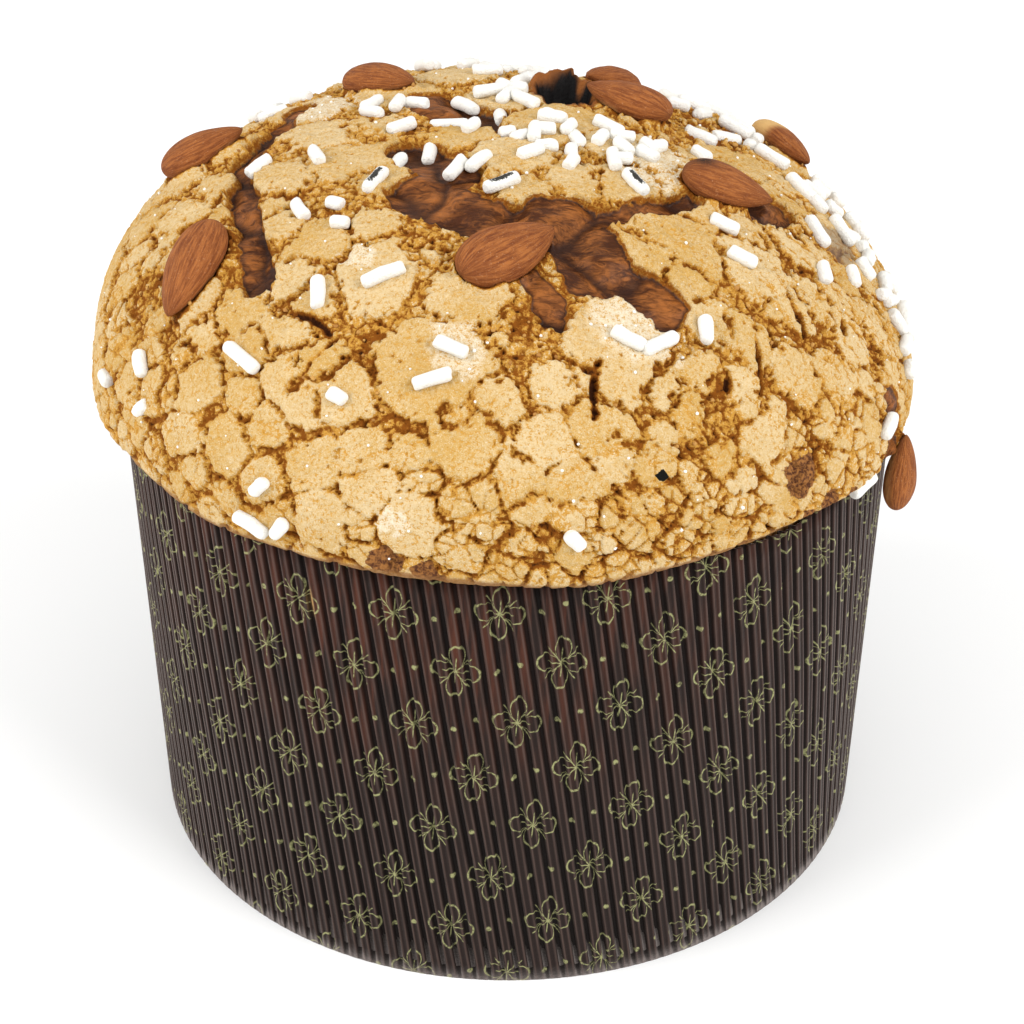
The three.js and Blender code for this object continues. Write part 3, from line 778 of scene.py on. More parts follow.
def make_piece(name, points, faces, material, fields=None, smooth_shaded=True, normals=None):
    """Mesh object at the origin from points in millimetres, with float attributes.

    faces is one array of faces with the same number of corners, or a list of such arrays.
    """
    groups = faces if isinstance(faces, list) else [faces]
    groups = [np.asarray(group, np.int32) for group in groups]
    sizes = np.concatenate([np.full(len(group), group.shape[1]) for group in groups])
    mesh = bpy.data.meshes.new(name)
    mesh.vertices.add(len(points))
    mesh.vertices.foreach_set("co", (np.asarray(points) * MM).astype(np.float32).ravel())
    mesh.loops.add(int(sizes.sum()))
    mesh.loops.foreach_set("vertex_index", np.concatenate([group.ravel() for group in groups]))
    mesh.polygons.add(len(sizes))
    starts = np.concatenate([[0], np.cumsum(sizes)[:-1]]).astype(np.int32)
    mesh.polygons.foreach_set("loop_start", starts)
    mesh.update(calc_edges=True)
    for field, values in (fields or {}).items():
        vector = np.ndim(values) == 2
        kind, key = ("FLOAT_VECTOR", "vector") if vector else ("FLOAT", "value")
        layer = mesh.attributes.new(field, kind, "POINT")
        layer.data.foreach_set(key, np.ascontiguousarray(values, np.float32).ravel())
    mesh.polygons.foreach_set("use_smooth", np.full(len(mesh.polygons), smooth_shaded))
    if normals is not None:
        mesh.normals_split_custom_set_from_vertices(normals.tolist())
    mesh.materials.append(material)
    mesh.update()
    piece = bpy.data.objects.new(name, mesh)
    bpy.context.scene.collection.objects.link(piece)
    return piece


class Value:
    """Output socket of a node. Arithmetic on it adds math nodes to its tree."""

    def __init__(self, shades, socket):
        self.shades, self.socket = shades, socket

    def __add__(self, other):
        return self.shades.math("ADD", self, other)

    def __sub__(self, other):
        return self.shades.math("SUBTRACT", self, other)

    def __rsub__(self, other):
        return self.shades.math("SUBTRACT", other, self)

    def __mul__(self, other):
        return self.shades.math("MULTIPLY", self, other)

    def __truediv__(self, other):
        return self.shades.math("DIVIDE", self, other)

    def __abs__(self):
        return self.shades.math("ABSOLUTE", self)

    __radd__, __rmul__ = __add__, __mul__


class Shades:
    """A node tree, with a short call for each kind of node used here."""

    def __init__(self, tree):
        self.tree = tree

    def put(self, target, value):
        """Links a value into an input, or sets the input's own value."""
        if isinstance(value, Value):
            self.tree.links.new(value.socket, target)
        elif hasattr(value, "__len__"):
            alpha = (1.0,) if len(value) == 3 and len(target.default_value) == 4 else ()
            target.default_value = tuple(value) + alpha
        else:
            target.default_value = value

    def node(self, kind, inputs=None, output=0, **settings):
        """One output of a new node, by name or number, after its settings and inputs are set."""
        made = self.tree.nodes.new(kind)
        for key, value in settings.items():
            setattr(made, key, value)
        for key, value in (inputs or {}).items():
            self.put(made.inputs[key], value)
        return Value(self, made.outputs[output])

    def math(self, operation, *values, clamp=False):
        """Result of a math node."""
        return self.node("ShaderNodeMath", dict(enumerate(values)), operation=operation,
                         use_clamp=clamp)

    def remap(self, value, low, high, to_low=0.0, to_high=1.0):
        """Smooth step of a value from one range to another."""
        return self.node("ShaderNodeMapRange", {
            "Value": value, "From Min": low, "From Max": high, "To Min": to_low,
            "To Max": to_high}, "Result", interpolation_type="SMOOTHSTEP")

    def blend(self, share, first, second):
        """Mix of two colours."""
        return self.node("ShaderNodeMix", {0: share, 6: first, 7: second}, 2,
                         data_type="RGBA", clamp_factor=True)

    def grain(self, vector, scale, detail=2.0, rough=0.5, stretch=None, bend=0.0):
        """Noise with features 1/scale across, stretched per axis and bent if asked."""
        if stretch:
            vector = self.node("ShaderNodeMapping", {"Vector": vector, "Scale": stretch})
        return self.node("ShaderNodeTexNoise", {
            "Vector": vector, "Scale": scale, "Detail": detail, "Roughness": rough,
            "Distortion": bend}, "Fac")

    def attribute(self, name, output="Fac"):
        """Value of a mesh attribute."""
        return self.node("ShaderNodeAttribute", output=output, attribute_name=name)

    def millimetres(self):
        """Object coordinates in millimetres."""
        place = self.node("ShaderNodeTexCoord", output="Object")
        return self.node("ShaderNodeVectorMath", {0: place, 1: (1 / MM,) * 3},
                         operation="MULTIPLY")


def new_material(name, settings):
    """Material with one principled shader. Returns it, its node calls and the shader's inputs."""
    material = bpy.data.materials.new(name)
    material.use_nodes = True
    shades = Shades(material.node_tree)
    shader = next(n for n in shades.tree.nodes if n.type == "BSDF_PRINCIPLED")
    for key, value in settings.items():
        shader.inputs[key].default_value = value
    return material, shades, shader.inputs


def finish_material(shades, shader, colour, height=None, others=None):
    """Links the colour, a bump from a height in millimetres, and other inputs by name."""
    shades.put(shader["Base Color"], colour)
    if height is not None:
        bump = {"Height": height, "Distance": MM, "Strength": 1.0}
        shades.put(shader["Normal"], shades.node("ShaderNodeBump", bump, "Normal"))
    for key, value in (others or {}).items():
        shades.put(shader[key], value)


def crust_material(settings):
    """Pale golden plates over rough orange crumb, with brown crust in the tears.

    The colour goes from pale to dark with how far a place is sunk in the glaze: the crumb's
    own colours first, then painted shade deep in cracks and holes and where the crust meets an
    almond. The bare crust gets painted shade in its creases and painted shadow just inside the
    glaze edges.
    """
    material, g, shader = new_material("crust", {"Specular IOR Level": 0.07,
                                                 "Coat Roughness": 0.38})
    mm = g.millimetres()
    ragged, fine = g.grain(mm, 1.3, 3.0, 0.6), g.grain(mm, 3.6, 2.0, 0.6)
    broad = g.grain(mm, 0.10, 2.0, 0.55)
    bite, speck = ragged - 0.5, fine - 0.5

    tone = broad * 1.5 + (g.attribute("tint") * 0.6 - 0.6) + bite * 2.4 + speck * 2.0
    glaze = g.blend(tone, settings.glaze_deep, settings.glaze_light)
    glaze = g.blend(g.remap(fine, 0.60, 0.72, 0.0, 0.5), glaze, settings.bloom)
    powder = g.math("ADD", bite * 1.6, speck * 1.6 + 0.5, clamp=True)
    glaze = g.blend(g.attribute("bloom") * powder, glaze, settings.bloom)

    down = g.attribute("sunk") - bite * 1.3 - speck * 0.9 - g.attribute("grit") * 0.5
    # Darker with depth: the crumb's own colours, then painted shade deep in cracks and holes
    colour = g.blend(g.remap(down, 0.06, 0.34), glaze, settings.crumb_light)
    colour = g.blend(g.remap(down, 0.36, 0.90), colour, settings.crumb_deep)
    colour = g.blend(g.remap(down, 1.0, 1.8), colour, CRACK_SHADE)

    drawn = g.grain(mm, 0.8, 4.0, 0.6, TEAR_STRETCH, 1.6)
    fibre = g.attribute("fibre") * 0.15 + drawn + (broad - 0.5) * 0.9
    skin = g.blend(g.remap(fibre, 0.28, 0.80), settings.torn_deep, settings.torn_light)
    # Painted shade in the creases between cushions of bare crust
    skin = g.blend(g.attribute("crease") * 0.85, skin, CREASE_SHADE)
    torn_edge = bite * 0.9 + g.attribute("tear")
    # Painted shadow of the glaze edge, darkening the bare crust just inside each tear
    skin = g.blend(g.remap(torn_edge, 1.5, 0.5, 0.0, 0.75), skin, CREASE_SHADE)
    broken = g.blend(g.remap(ragged, 0.45, 0.75), settings.crumb_deep, settings.crumb_light)
    colour = g.blend(g.remap(torn_edge, -0.25, 0.0), colour, broken)
    colour = g.blend(g.remap(torn_edge, 0.25, 0.6), colour, skin)

    fruit = g.blend(g.remap(ragged, 0.38, 0.62), FRUIT_DARK, FRUIT_LIGHT)
    brown = g.remap(bite * 1.3 + g.attribute("brown"), 0.38, 0.60)
    colour = g.blend(brown, colour, fruit)
    colour = g.blend(g.attribute("ash") * 0.65, colour, ASH)
    colour = g.blend(g.attribute("under") * 0.85, colour, g.blend(ragged, NECK_DARK, NECK_LIGHT))
    black = g.remap(bite * 0.9 + g.attribute("black"), 0.42, 0.50)
    colour = g.blend(black, colour, CHARRED)
    blister = g.attribute("blister")
    colour = g.blend(blister, colour, g.blend(g.attribute("arch"), BUBBLE_DARK, BUBBLE_LIGHT))

    bare = g.remap(torn_edge, 0.1, 0.5)
    height = (ragged * 0.55 + fine * 0.28) * (1.0 - bare) + drawn * 0.8 * bare
    finish_material(g, shader, colour, height, {
        "Roughness": 0.75 - (bare + blister) * 0.30,
        "Coat Weight": bare * 0.16 + blister * 0.06})
    return material


def almond_material(settings):
    """Reddish-brown skin with fine furrows along the almond and a little dust."""
    material, g, shader = new_material("almond_skin", {"Specular IOR Level": 0.15,
                                                       "Roughness": 0.7})
    mm = g.millimetres()
    furrow = g.grain(g.attribute("run", "Vector"), 3.4, 4.0, 0.7)
    dust, patch = g.grain(mm, 2.6, 3.0, 0.7), g.grain(mm, 0.16)
    colour = g.blend(g.remap(furrow, 0.34, 0.66), settings.almond_deep, settings.almond_light)
    colour = g.blend(g.remap(patch, 0.4, 0.7, 0.0, 0.3), colour, settings.almond_deep)
    colour = g.blend(g.remap(dust, 0.58, 0.74, 0.0, 0.5), colour, ALMOND_DUST)
    burn = g.attribute("burn") * g.remap(dust, 0.3, 0.5)
    colour = g.blend(burn, colour, ALMOND_BURN)
    colour = g.blend(g.attribute("icing"), colour, ALMOND_ICING)
    finish_material(g, shader, colour, furrow * 0.40 + dust * 0.30)
    return material


def sugar_material(settings):
    """Chalky white sugar with faint grain and a few scorched marks."""
    material, g, shader = new_material("sugar", {"Specular IOR Level": 0.4, "Roughness": 0.55})
    fine = g.grain(g.millimetres(), 2.2, 3.0, 0.6)
    colour = g.blend(g.remap(fine, 0.3, 0.7, 0.0, 0.35), settings.sugar, SUGAR_BRIGHT)
    scorch = g.remap(fine * 1.6 + g.attribute("scorch"), 1.25, 1.45)
    finish_material(g, shader, g.blend(scorch, colour, SCORCH), fine * 0.40)
    return material


def crumb_material(settings):
    """Loose crumbs whose tone is held on the mesh."""
    material, g, shader = new_material("crumbs", {"Specular IOR Level": 0.25, "Roughness": 0.8})
    tone = g.attribute("tone")
    colour = g.blend(tone, CRUMB_DARK, settings.crumb)
    finish_material(g, shader, g.blend(g.remap(tone, 0.9, 0.95), colour, settings.sugar))
    return material


def blossom_group():
    """Node group: share of ink from lattice coordinates.

    Blossoms stand where both whole coordinates are odd or both even. A blossom is the
    outline of a four-petalled rose curve with short strokes between the petals and a
    dot at either side. Lengths in it are millimetres.
    """
    group = bpy.data.node_groups.new("Blossom print", "ShaderNodeTree")
    group.interface.new_socket("Lattice", in_out="INPUT", socket_type="NodeSocketVector")
    group.interface.new_socket("Ink", in_out="OUTPUT", socket_type="NodeSocketFloat")
    g = Shades(group)
    lattice = g.node("NodeGroupInput", output="Lattice")
    column, row = (g.node("ShaderNodeSeparateXYZ", {0: lattice}, axis) for axis in "XY")
    total, apart = (g.math("ROUND", both * 0.5) for both in (column + row, column - row))
    column, row = column - (total + apart), row - (total - apart)
    x = row * BLOSSOM_SHEAR + column * BLOSSOM_STEP
    y = row * -PRINT_DROP + column * PRINT_RISE_PER_COLUMN
    wide = x / BLOSSOM_WIDTH
    radius = g.math("SQRT", wide * wide + y * y)
    turn = (g.math("ARCTAN2", y, wide) + BLOSSOM_TURN) * 2.0
    on_petal, off_petal = (abs(g.math(wave, turn)) for wave in ("COSINE", "SINE"))
    petal = g.math("POWER", on_petal, PETAL_ROUNDNESS) * PETAL_LENGTH
    outline = g.remap(abs(radius - petal), 0.40, 0.12)
    vein = g.remap(off_petal * radius, 0.42, 0.15) * g.remap(radius, 3.6, 2.8)
    stroke = g.remap(on_petal * radius, 0.42, 0.15) * g.remap(radius, 5.6, 5.0)
    side = abs(x) - DOT_DISTANCE
    dot = g.remap(g.math("SQRT", side * side + y * y), 0.75, 0.45)
    ink = g.math("MAXIMUM", g.math("MAXIMUM", outline, vein), g.math("MAXIMUM", stroke, dot))
    g.put(group.nodes.new("NodeGroupOutput").inputs["Ink"], ink)
    return group


def case_material(settings):
    """Satin dark paper with olive blossoms and reddish grease streaks."""
    material, g, shader = new_material("case_paper", {
        "Specular IOR Level": 0.06, "Sheen Weight": 0.30, "Sheen Roughness": 0.35,
        "Sheen Tint": SHEEN_TINT})
    streak = g.grain(g.attribute("wrap", "Vector"), 1.0, 4.0, 0.6, STREAK_STRETCH)
    fine = g.grain(g.millimetres(), 1.6, 3.0, 0.6)
    grease = g.attribute("grease") * g.remap(streak, 0.38, 0.66)
    colour = g.blend(grease, settings.paper, settings.grease)
    # Painted highlight: thin light lines along the flute shoulders, broken up by the streaks
    ridge_highlight = g.attribute("shoulder") * g.remap(streak, 0.3, 0.6, 0.35, 0.9)
    colour = g.blend(ridge_highlight, colour, RIDGE_HIGHLIGHT)
    # Painted shade in the flute valleys
    colour = g.blend(g.attribute("valley") * 0.85, colour, VALLEY_SHADE)
    lattice = {"Lattice": g.attribute("lattice", "Vector")}
    ink = g.node("ShaderNodeGroup", lattice, "Ink", node_tree=blossom_group())
    ink = ink * g.remap(fine, 0.36, 0.56, 0.25, 0.95) * g.attribute("outside")
    colour = g.blend(ink, colour, settings.print_ink)
    colour = g.blend(g.attribute("bare"), colour, BARE_CARD)
    finish_material(g, shader, colour, fine * 0.06, {"Roughness": fine * 0.22 + 0.36})
    return material


class PANETTONE_OT_crust(bpy.types.Operator):
    """Loaf and crown in one closed skin, in place of the CAD bread."""

    bl_idname = "panettone.crust"
    bl_label = "Crust"

    def execute(self, context):
        settings = context.scene.panettone_crust
        seeds, seats = plate_seeds(), almond_seats()
        even = np.radians(np.linspace(-90, 90, 1441))
        line = crown_point(np.zeros_like(even), even)
        run = np.concatenate([[0], np.cumsum(np.linalg.norm(np.diff(line, axis=0), axis=1))])
        ring_count = round(run[-1] / (CRUST_STEP * 0.87))
        lifts = np.interp(np.arange(ring_count) * run[-1] / ring_count, run, even)
        radii = np.hypot(*crown_point(np.zeros_like(lifts), lifts)[:, :2].T)
        counts = np.maximum(8, np.round(2 * np.pi * radii / CRUST_STEP)).astype(int)
        azimuth = np.concatenate([2 * np.pi * np.arange(n) / n for n in counts] + [[0.0]])
        lift = np.concatenate([np.repeat(lifts, counts), [np.pi / 2]])
        crown, fields = crust_relief(azimuth, lift, seeds, seats, settings.tear_depth / MM)

        bottom = PAPER_FLOOR + FLOOR_CLEARANCE
        loaf = []
        for drop, count in LOAF_RINGS:
            around = 2 * np.pi * np.arange(count) / count
            z = lerp(lip_height(around), bottom, drop)
            loaf.append(polar(loaf_radius(z) * (count > 1), around, z))
        points = np.concatenate(loaf + [crown])
        all_counts = [count for _, count in LOAF_RINGS] + list(counts) + [1]
        strips, starts = stitch_rings(all_counts)
        normals = vertex_normals(points, np.concatenate(strips))
        hidden = len(points) - len(crown)
        rest = {"under": 1.0, "tear": -9.0, "sunk": 0.3}
        fields = {name: np.concatenate([np.full(hidden, rest.get(name, 0.0)), values])
                  for name, values in fields.items()}
        material = crust_material(settings)
        share = np.cumsum([len(strip) for strip in strips]) / sum(len(strip) for strip in strips)
        inner = np.searchsorted(share, np.arange(1, CRUST_BANDS) / CRUST_BANDS)
        cuts = [0, *inner, len(strips)]
        for number, (first, last) in enumerate(zip(cuts, cuts[1:])):
            low, high = starts[first], starts[last + 1]
            piece = make_piece(
                f"crust_band_{number + 1}" if number else "crust_and_loaf", points[low:high],
                np.concatenate(strips[first:last]) - low, material,
                {name: values[low:high] for name, values in fields.items()},
                normals=normals[low:high])
            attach(piece, "root")
            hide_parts("bread")
        return {"FINISHED"}


class PANETTONE_OT_almonds(bpy.types.Operator):
    """Whole almonds in their skins, each in place of its CAD node."""

    bl_idname = "panettone.almonds"
    bl_label = "Almonds"

    def execute(self, context):
        material = almond_material(context.scene.panettone_toppings)
        for number, seat in enumerate(almond_seats()):
            self.add_almond(seat, number, material)
        return {"FINISHED"}

    def add_almond(self, seat, number, material):
        """Lathed drop, flattened, with furrows that run from end to end.

        Radius at share u of the length = half width times sin(pi u^0.7)^0.66, plus
        furrows from noise that changes fast around and slowly along the almond.
        """
        u = (1 - np.cos(np.pi * np.arange(1, ALMOND_RINGS) / ALMOND_RINGS)) / 2
        turn = 2 * np.pi * np.arange(ALMOND_SIDES) / ALMOND_SIDES
        u_all, turn_all = np.repeat(u, ALMOND_SIDES), np.tile(turn, len(u))
        length, width = seat["length"], seat["width"]
        radius = almond_half_width((u_all - 0.5) * length, length, width)
        run = np.stack([u_all * 1.6 + number * 7, 2.6 * np.cos(turn_all),
                        2.6 * np.sin(turn_all)], axis=1)
        furrows = 0.22 * noise(run, 0.55, 61) + 0.2 * noise(run, 1.6, 62)
        radius = radius + furrows * np.sin(np.pi * u_all)
        local = np.stack([(u_all - 0.5) * length, radius * np.cos(turn_all),
                          ALMOND_THICKNESS * radius * np.sin(turn_all)], axis=1)
        ends = np.array([[-length / 2, 0, 0], [length / 2, 0, 0]])
        local = np.concatenate([ends[:1], local, ends[1:]])
        run = np.concatenate([run[:1], run, run[-1:]])
        strips, _ = stitch_rings([1] + [ALMOND_SIDES] * len(u) + [1])
        points = local @ seat["axes"] + seat["middle"]
        x, y, z = local.T
        burn = np.exp(-(((x + 0.32 * length) / 2.6) ** 2 + ((y - 1.5) / 2.2) ** 2))
        icing = smooth(0.1, 0.5, noise(local, 5.0, 70 + number)) * smooth(0, -0.3, z / width)
        if number + 1 == ICED_ALMOND:
            icing = np.maximum(icing, smooth(ICED_FROM, ICED_FROM - 0.15, x / length))
        fields = {"run": run, "burn": burn * (number + 1 == BURNT_ALMOND), "icing": icing}
        piece = make_piece(seat["name"], points, np.concatenate(strips), material, fields)
        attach(piece, "root")
        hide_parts(seat["name"])


def strewn_rods():
    """Rods strewn by rule, thickest on top and at the back right, in the form of LONE_RODS."""
    i = np.arange(STREWN_TRIES)
    azimuth = i * GOLDEN_ANGLE
    lift = np.radians(lerp(90, STREWN_DOWN_TO, ((i + 0.5) / STREWN_TRIES) ** 0.7))
    length = lerp(*ROD_LENGTHS, fraction(i * STEP_B))
    off = azimuth - math.radians(140)
    crowding = np.maximum(1.4 * smooth(72, 80, np.degrees(lift)), smooth(-0.1, 0.5, np.cos(off)))
    kept = fraction(i * STEP_A) < STREWN_SHARE * crowding
    return np.stack([azimuth, lift, math.pi * fraction(i * STEP_D), length], axis=1)[kept]


def crowded_rods():
    """Rods in clusters, in a sunflower pattern around each middle, in the form of LONE_RODS."""
    rods = []
    for number, (azimuth, lift, spread, count) in enumerate(ROD_CLUSTERS):
        i = np.arange(count)
        reach = spread * np.sqrt((i + 0.5) / count)
        turn = i * GOLDEN_ANGLE + number
        middle, east, uphill, _ = crown_frame(
            np.radians([float(azimuth)]), np.radians([float(lift)]))
        wanted = middle + (reach * np.cos(turn))[:, None] * east \
            + (reach * np.sin(turn))[:, None] * uphill
        around = np.arctan2(wanted[:, 0], -wanted[:, 1])
        ladder = np.radians(np.linspace(0, 90, 181))
        grid = crown_point(*np.broadcast_arrays(around[:, None], ladder[None]))
        gaps = np.linalg.norm(grid - wanted[:, None], axis=2)
        draw = fraction(i * STEP_B + 0.31 * number)
        rods.append(np.stack([around, ladder[gaps.argmin(axis=1)], 2 * np.pi * draw,
                              lerp(*ROD_LENGTHS, fraction(draw * 7))], axis=1))
    return np.concatenate(rods)


def sugar_rods(seats):
    """All rods that don't lie on an almond."""
    lone = np.array(LONE_RODS, float)
    lone[:, :3] = np.radians(lone[:, :3])
    rods = np.concatenate([lone, strewn_rods(), crowded_rods()])
    point, _, _, out = crown_frame(rods[:, 0], rods[:, 1])
    free = np.ones(len(rods), bool)
    for seat in seats:
        local = (point + out - seat["middle"]) @ seat["axes"].T
        reach = rods[:, 3] / 2 + ROD_NEAR_ALMOND
        away = (local[:, 0] / (seat["length"] / 2 + reach)) ** 2 \
            + (local[:, 1] / (seat["width"] / 2 + reach)) ** 2
        free &= (away >= 1) | (np.abs(local[:, 2]) >= seat["width"])
    hollow = np.linalg.norm(point - degrees_point(*BUBBLE["at"]), axis=1)
    return rods[free & (hollow > BUBBLE["radius"] + rods[:, 3] / 2)]


class PANETTONE_OT_rods(bpy.types.Operator):
    """White sugar rods in one joined mesh."""

    bl_idname = "panettone.rods"
    bl_label = "Sugar rods"

    def execute(self, context):
        seeds, seats = plate_seeds(), almond_seats()
        rods = sugar_rods(seats)
        tear_depth = context.scene.panettone_crust.tear_depth / MM
        middles, _ = crust_relief(rods[:, 0], rods[:, 1], seeds, seats, tear_depth)
        _, east, uphill, out = crown_frame(rods[:, 0], rods[:, 1])
        settings = context.scene.panettone_toppings
        half = len(ROD_RINGS)
        ends = np.repeat([-1.0, 0.0, 1.0], [half, 1, half])
        inset, share = np.array(ROD_RINGS).T
        insets = np.concatenate([inset, [0], -inset[::-1]])
        radius = settings.rod_radius / MM * np.concatenate([share, [1], share[::-1]])
        turn = 2 * np.pi * np.arange(ROD_SIDES) / ROD_SIDES
        counts = [1] + [ROD_SIDES] * (len(ends) - 2) + [1]
        keep = np.ones(len(ends) * ROD_SIDES, bool)
        keep[1:ROD_SIDES] = keep[-ROD_SIDES + 1:] = False
        scorched = np.radians([LONE_RODS[k][:2] for k in SCORCHED_RODS])
        points, faces, scorch = [], [], []
        for number, rod in enumerate(rods):
            length = rod[3]
            along = east[number] * math.cos(rod[2]) + uphill[number] * math.sin(rod[2])
            across = np.cross(out[number], along)
            x = ends * length / 2 + insets
            grid = along * x[:, None, None] \
                + across * (radius[:, None] * np.cos(turn))[..., None] \
                + out[number] * (radius[:, None] * np.sin(turn))[..., None]
            grid = grid.reshape(-1, 3) + middles[number] + out[number] * ROD_RISE
            points.append(grid[keep])
            faces += stitch_rings(counts, number * sum(counts))[0]
            burnt = np.any(np.abs(scorched - rod[:2]).sum(axis=1) < 1e-9)
            slit = np.tile(np.exp(-(((np.sin(turn) - 1) / 0.22) ** 2)), len(ends))
            slit = slit * np.repeat(np.exp(-((x / (0.36 * length)) ** 6)), ROD_SIDES)
            scorch.append((slit * burnt)[keep])
        points = np.concatenate(points)
        away = unit(points - np.repeat(middles, sum(counts), axis=0) + 1e-6)
        rough = 0.26 * noise(points, 1.7, 81) + 0.12 * noise(points, 0.9, 82)
        piece = make_piece("sugar_rods", points + away * rough[:, None], np.concatenate(faces),
                           sugar_material(settings), {"scorch": np.concatenate(scorch)})
        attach(piece, "root")
        return {"FINISHED"}


def icosahedron():
    """Corners and outward faces of an icosahedron with radius 1."""
    golden = (1 + 5**0.5) / 2
    corner = unit(np.array([
        (0, a, b * golden)[k:] + (0, a, b * golden)[:k]
        for k in range(3) for a in (-1, 1) for b in (-1, 1)], float))
    gaps = np.linalg.norm(corner[:, None] - corner[None], axis=2)
    near = (gaps > 0.1) & (gaps < 1.2)
    faces = np.array([f for f in itertools.combinations(range(len(corner)), 3)
                      if near[f[0], f[1]] and near[f[1], f[2]] and near[f[0], f[2]]])
    a, b, c = (corner[faces[:, k]] for k in range(3))
    inward = np.sum(np.cross(b - a, c - a) * a, axis=1) <= 0
    faces[inward] = faces[inward][:, [0, 2, 1]]
    return corner, faces


class PANETTONE_OT_crumbs(bpy.types.Operator):
    """Loose bits of glaze and grains of sugar, in one joined mesh."""

    bl_idname = "panettone.crumbs"
    bl_label = "Crumbs"

    def execute(self, context):
        seeds, seats = plate_seeds(), almond_seats()
        i = np.arange(CRUMB_TRIES)
        azimuth = i * GOLDEN_ANGLE
        lift = np.arcsin(np.clip(fraction(i * STEP_A) ** 0.8, 0, 0.999))
        tear_depth = context.scene.panettone_crust.tear_depth / MM
        place, fields = crust_relief(azimuth, lift, seeds, seats, tear_depth)
        _, _, _, out = crown_frame(azimuth, lift)
        draw = fraction(i * STEP_B + 0.2)
        degrees = np.degrees(lift)
        in_gap = (fields["sunk"] > 0.35) & (fields["tear"] < -0.2)
        sugar = (draw > 0.955) | (draw > 0.75) & (fields["bloom"] > 0.4)
        sugar &= ~in_gap & (fields["tear"] < -1)
        crumb = in_gap & (draw < 0.26 * smooth(12, 40, degrees) + 0.04)
        keep = (sugar | crumb) & (fields["blister"] < 0.1)
        place, out, draw, sugar = place[keep], out[keep], draw[keep], sugar[keep]
        size = np.where(sugar, 0.16 + 0.22 * fraction(draw * 91),
                        0.22 + 0.30 * fraction(draw * 57))
        corner, faces = icosahedron()
        count = len(place)
        shape = corner[None] * size[:, None, None]
        points = (shape + place[:, None] + (out * size[:, None] * 0.35)[:, None]).reshape(-1, 3)
        push = noise(points, 0.45, 91)[:, None] * np.repeat(size, 12)[:, None] * 0.5
        points = points + push * np.tile(corner, (count, 1))
        all_faces = (faces[None] + 12 * np.arange(count)[:, None, None]).reshape(-1, 3)
        tone = np.where(sugar, 1.0, 0.2 + 0.6 * fraction(draw * 37))
        material = crumb_material(context.scene.panettone_toppings)
        piece = make_piece("crumbs", points, all_faces, material,
                           {"tone": np.repeat(tone, 12)}, smooth_shaded=False)
        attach(piece, "root")
        return {"FINISHED"}


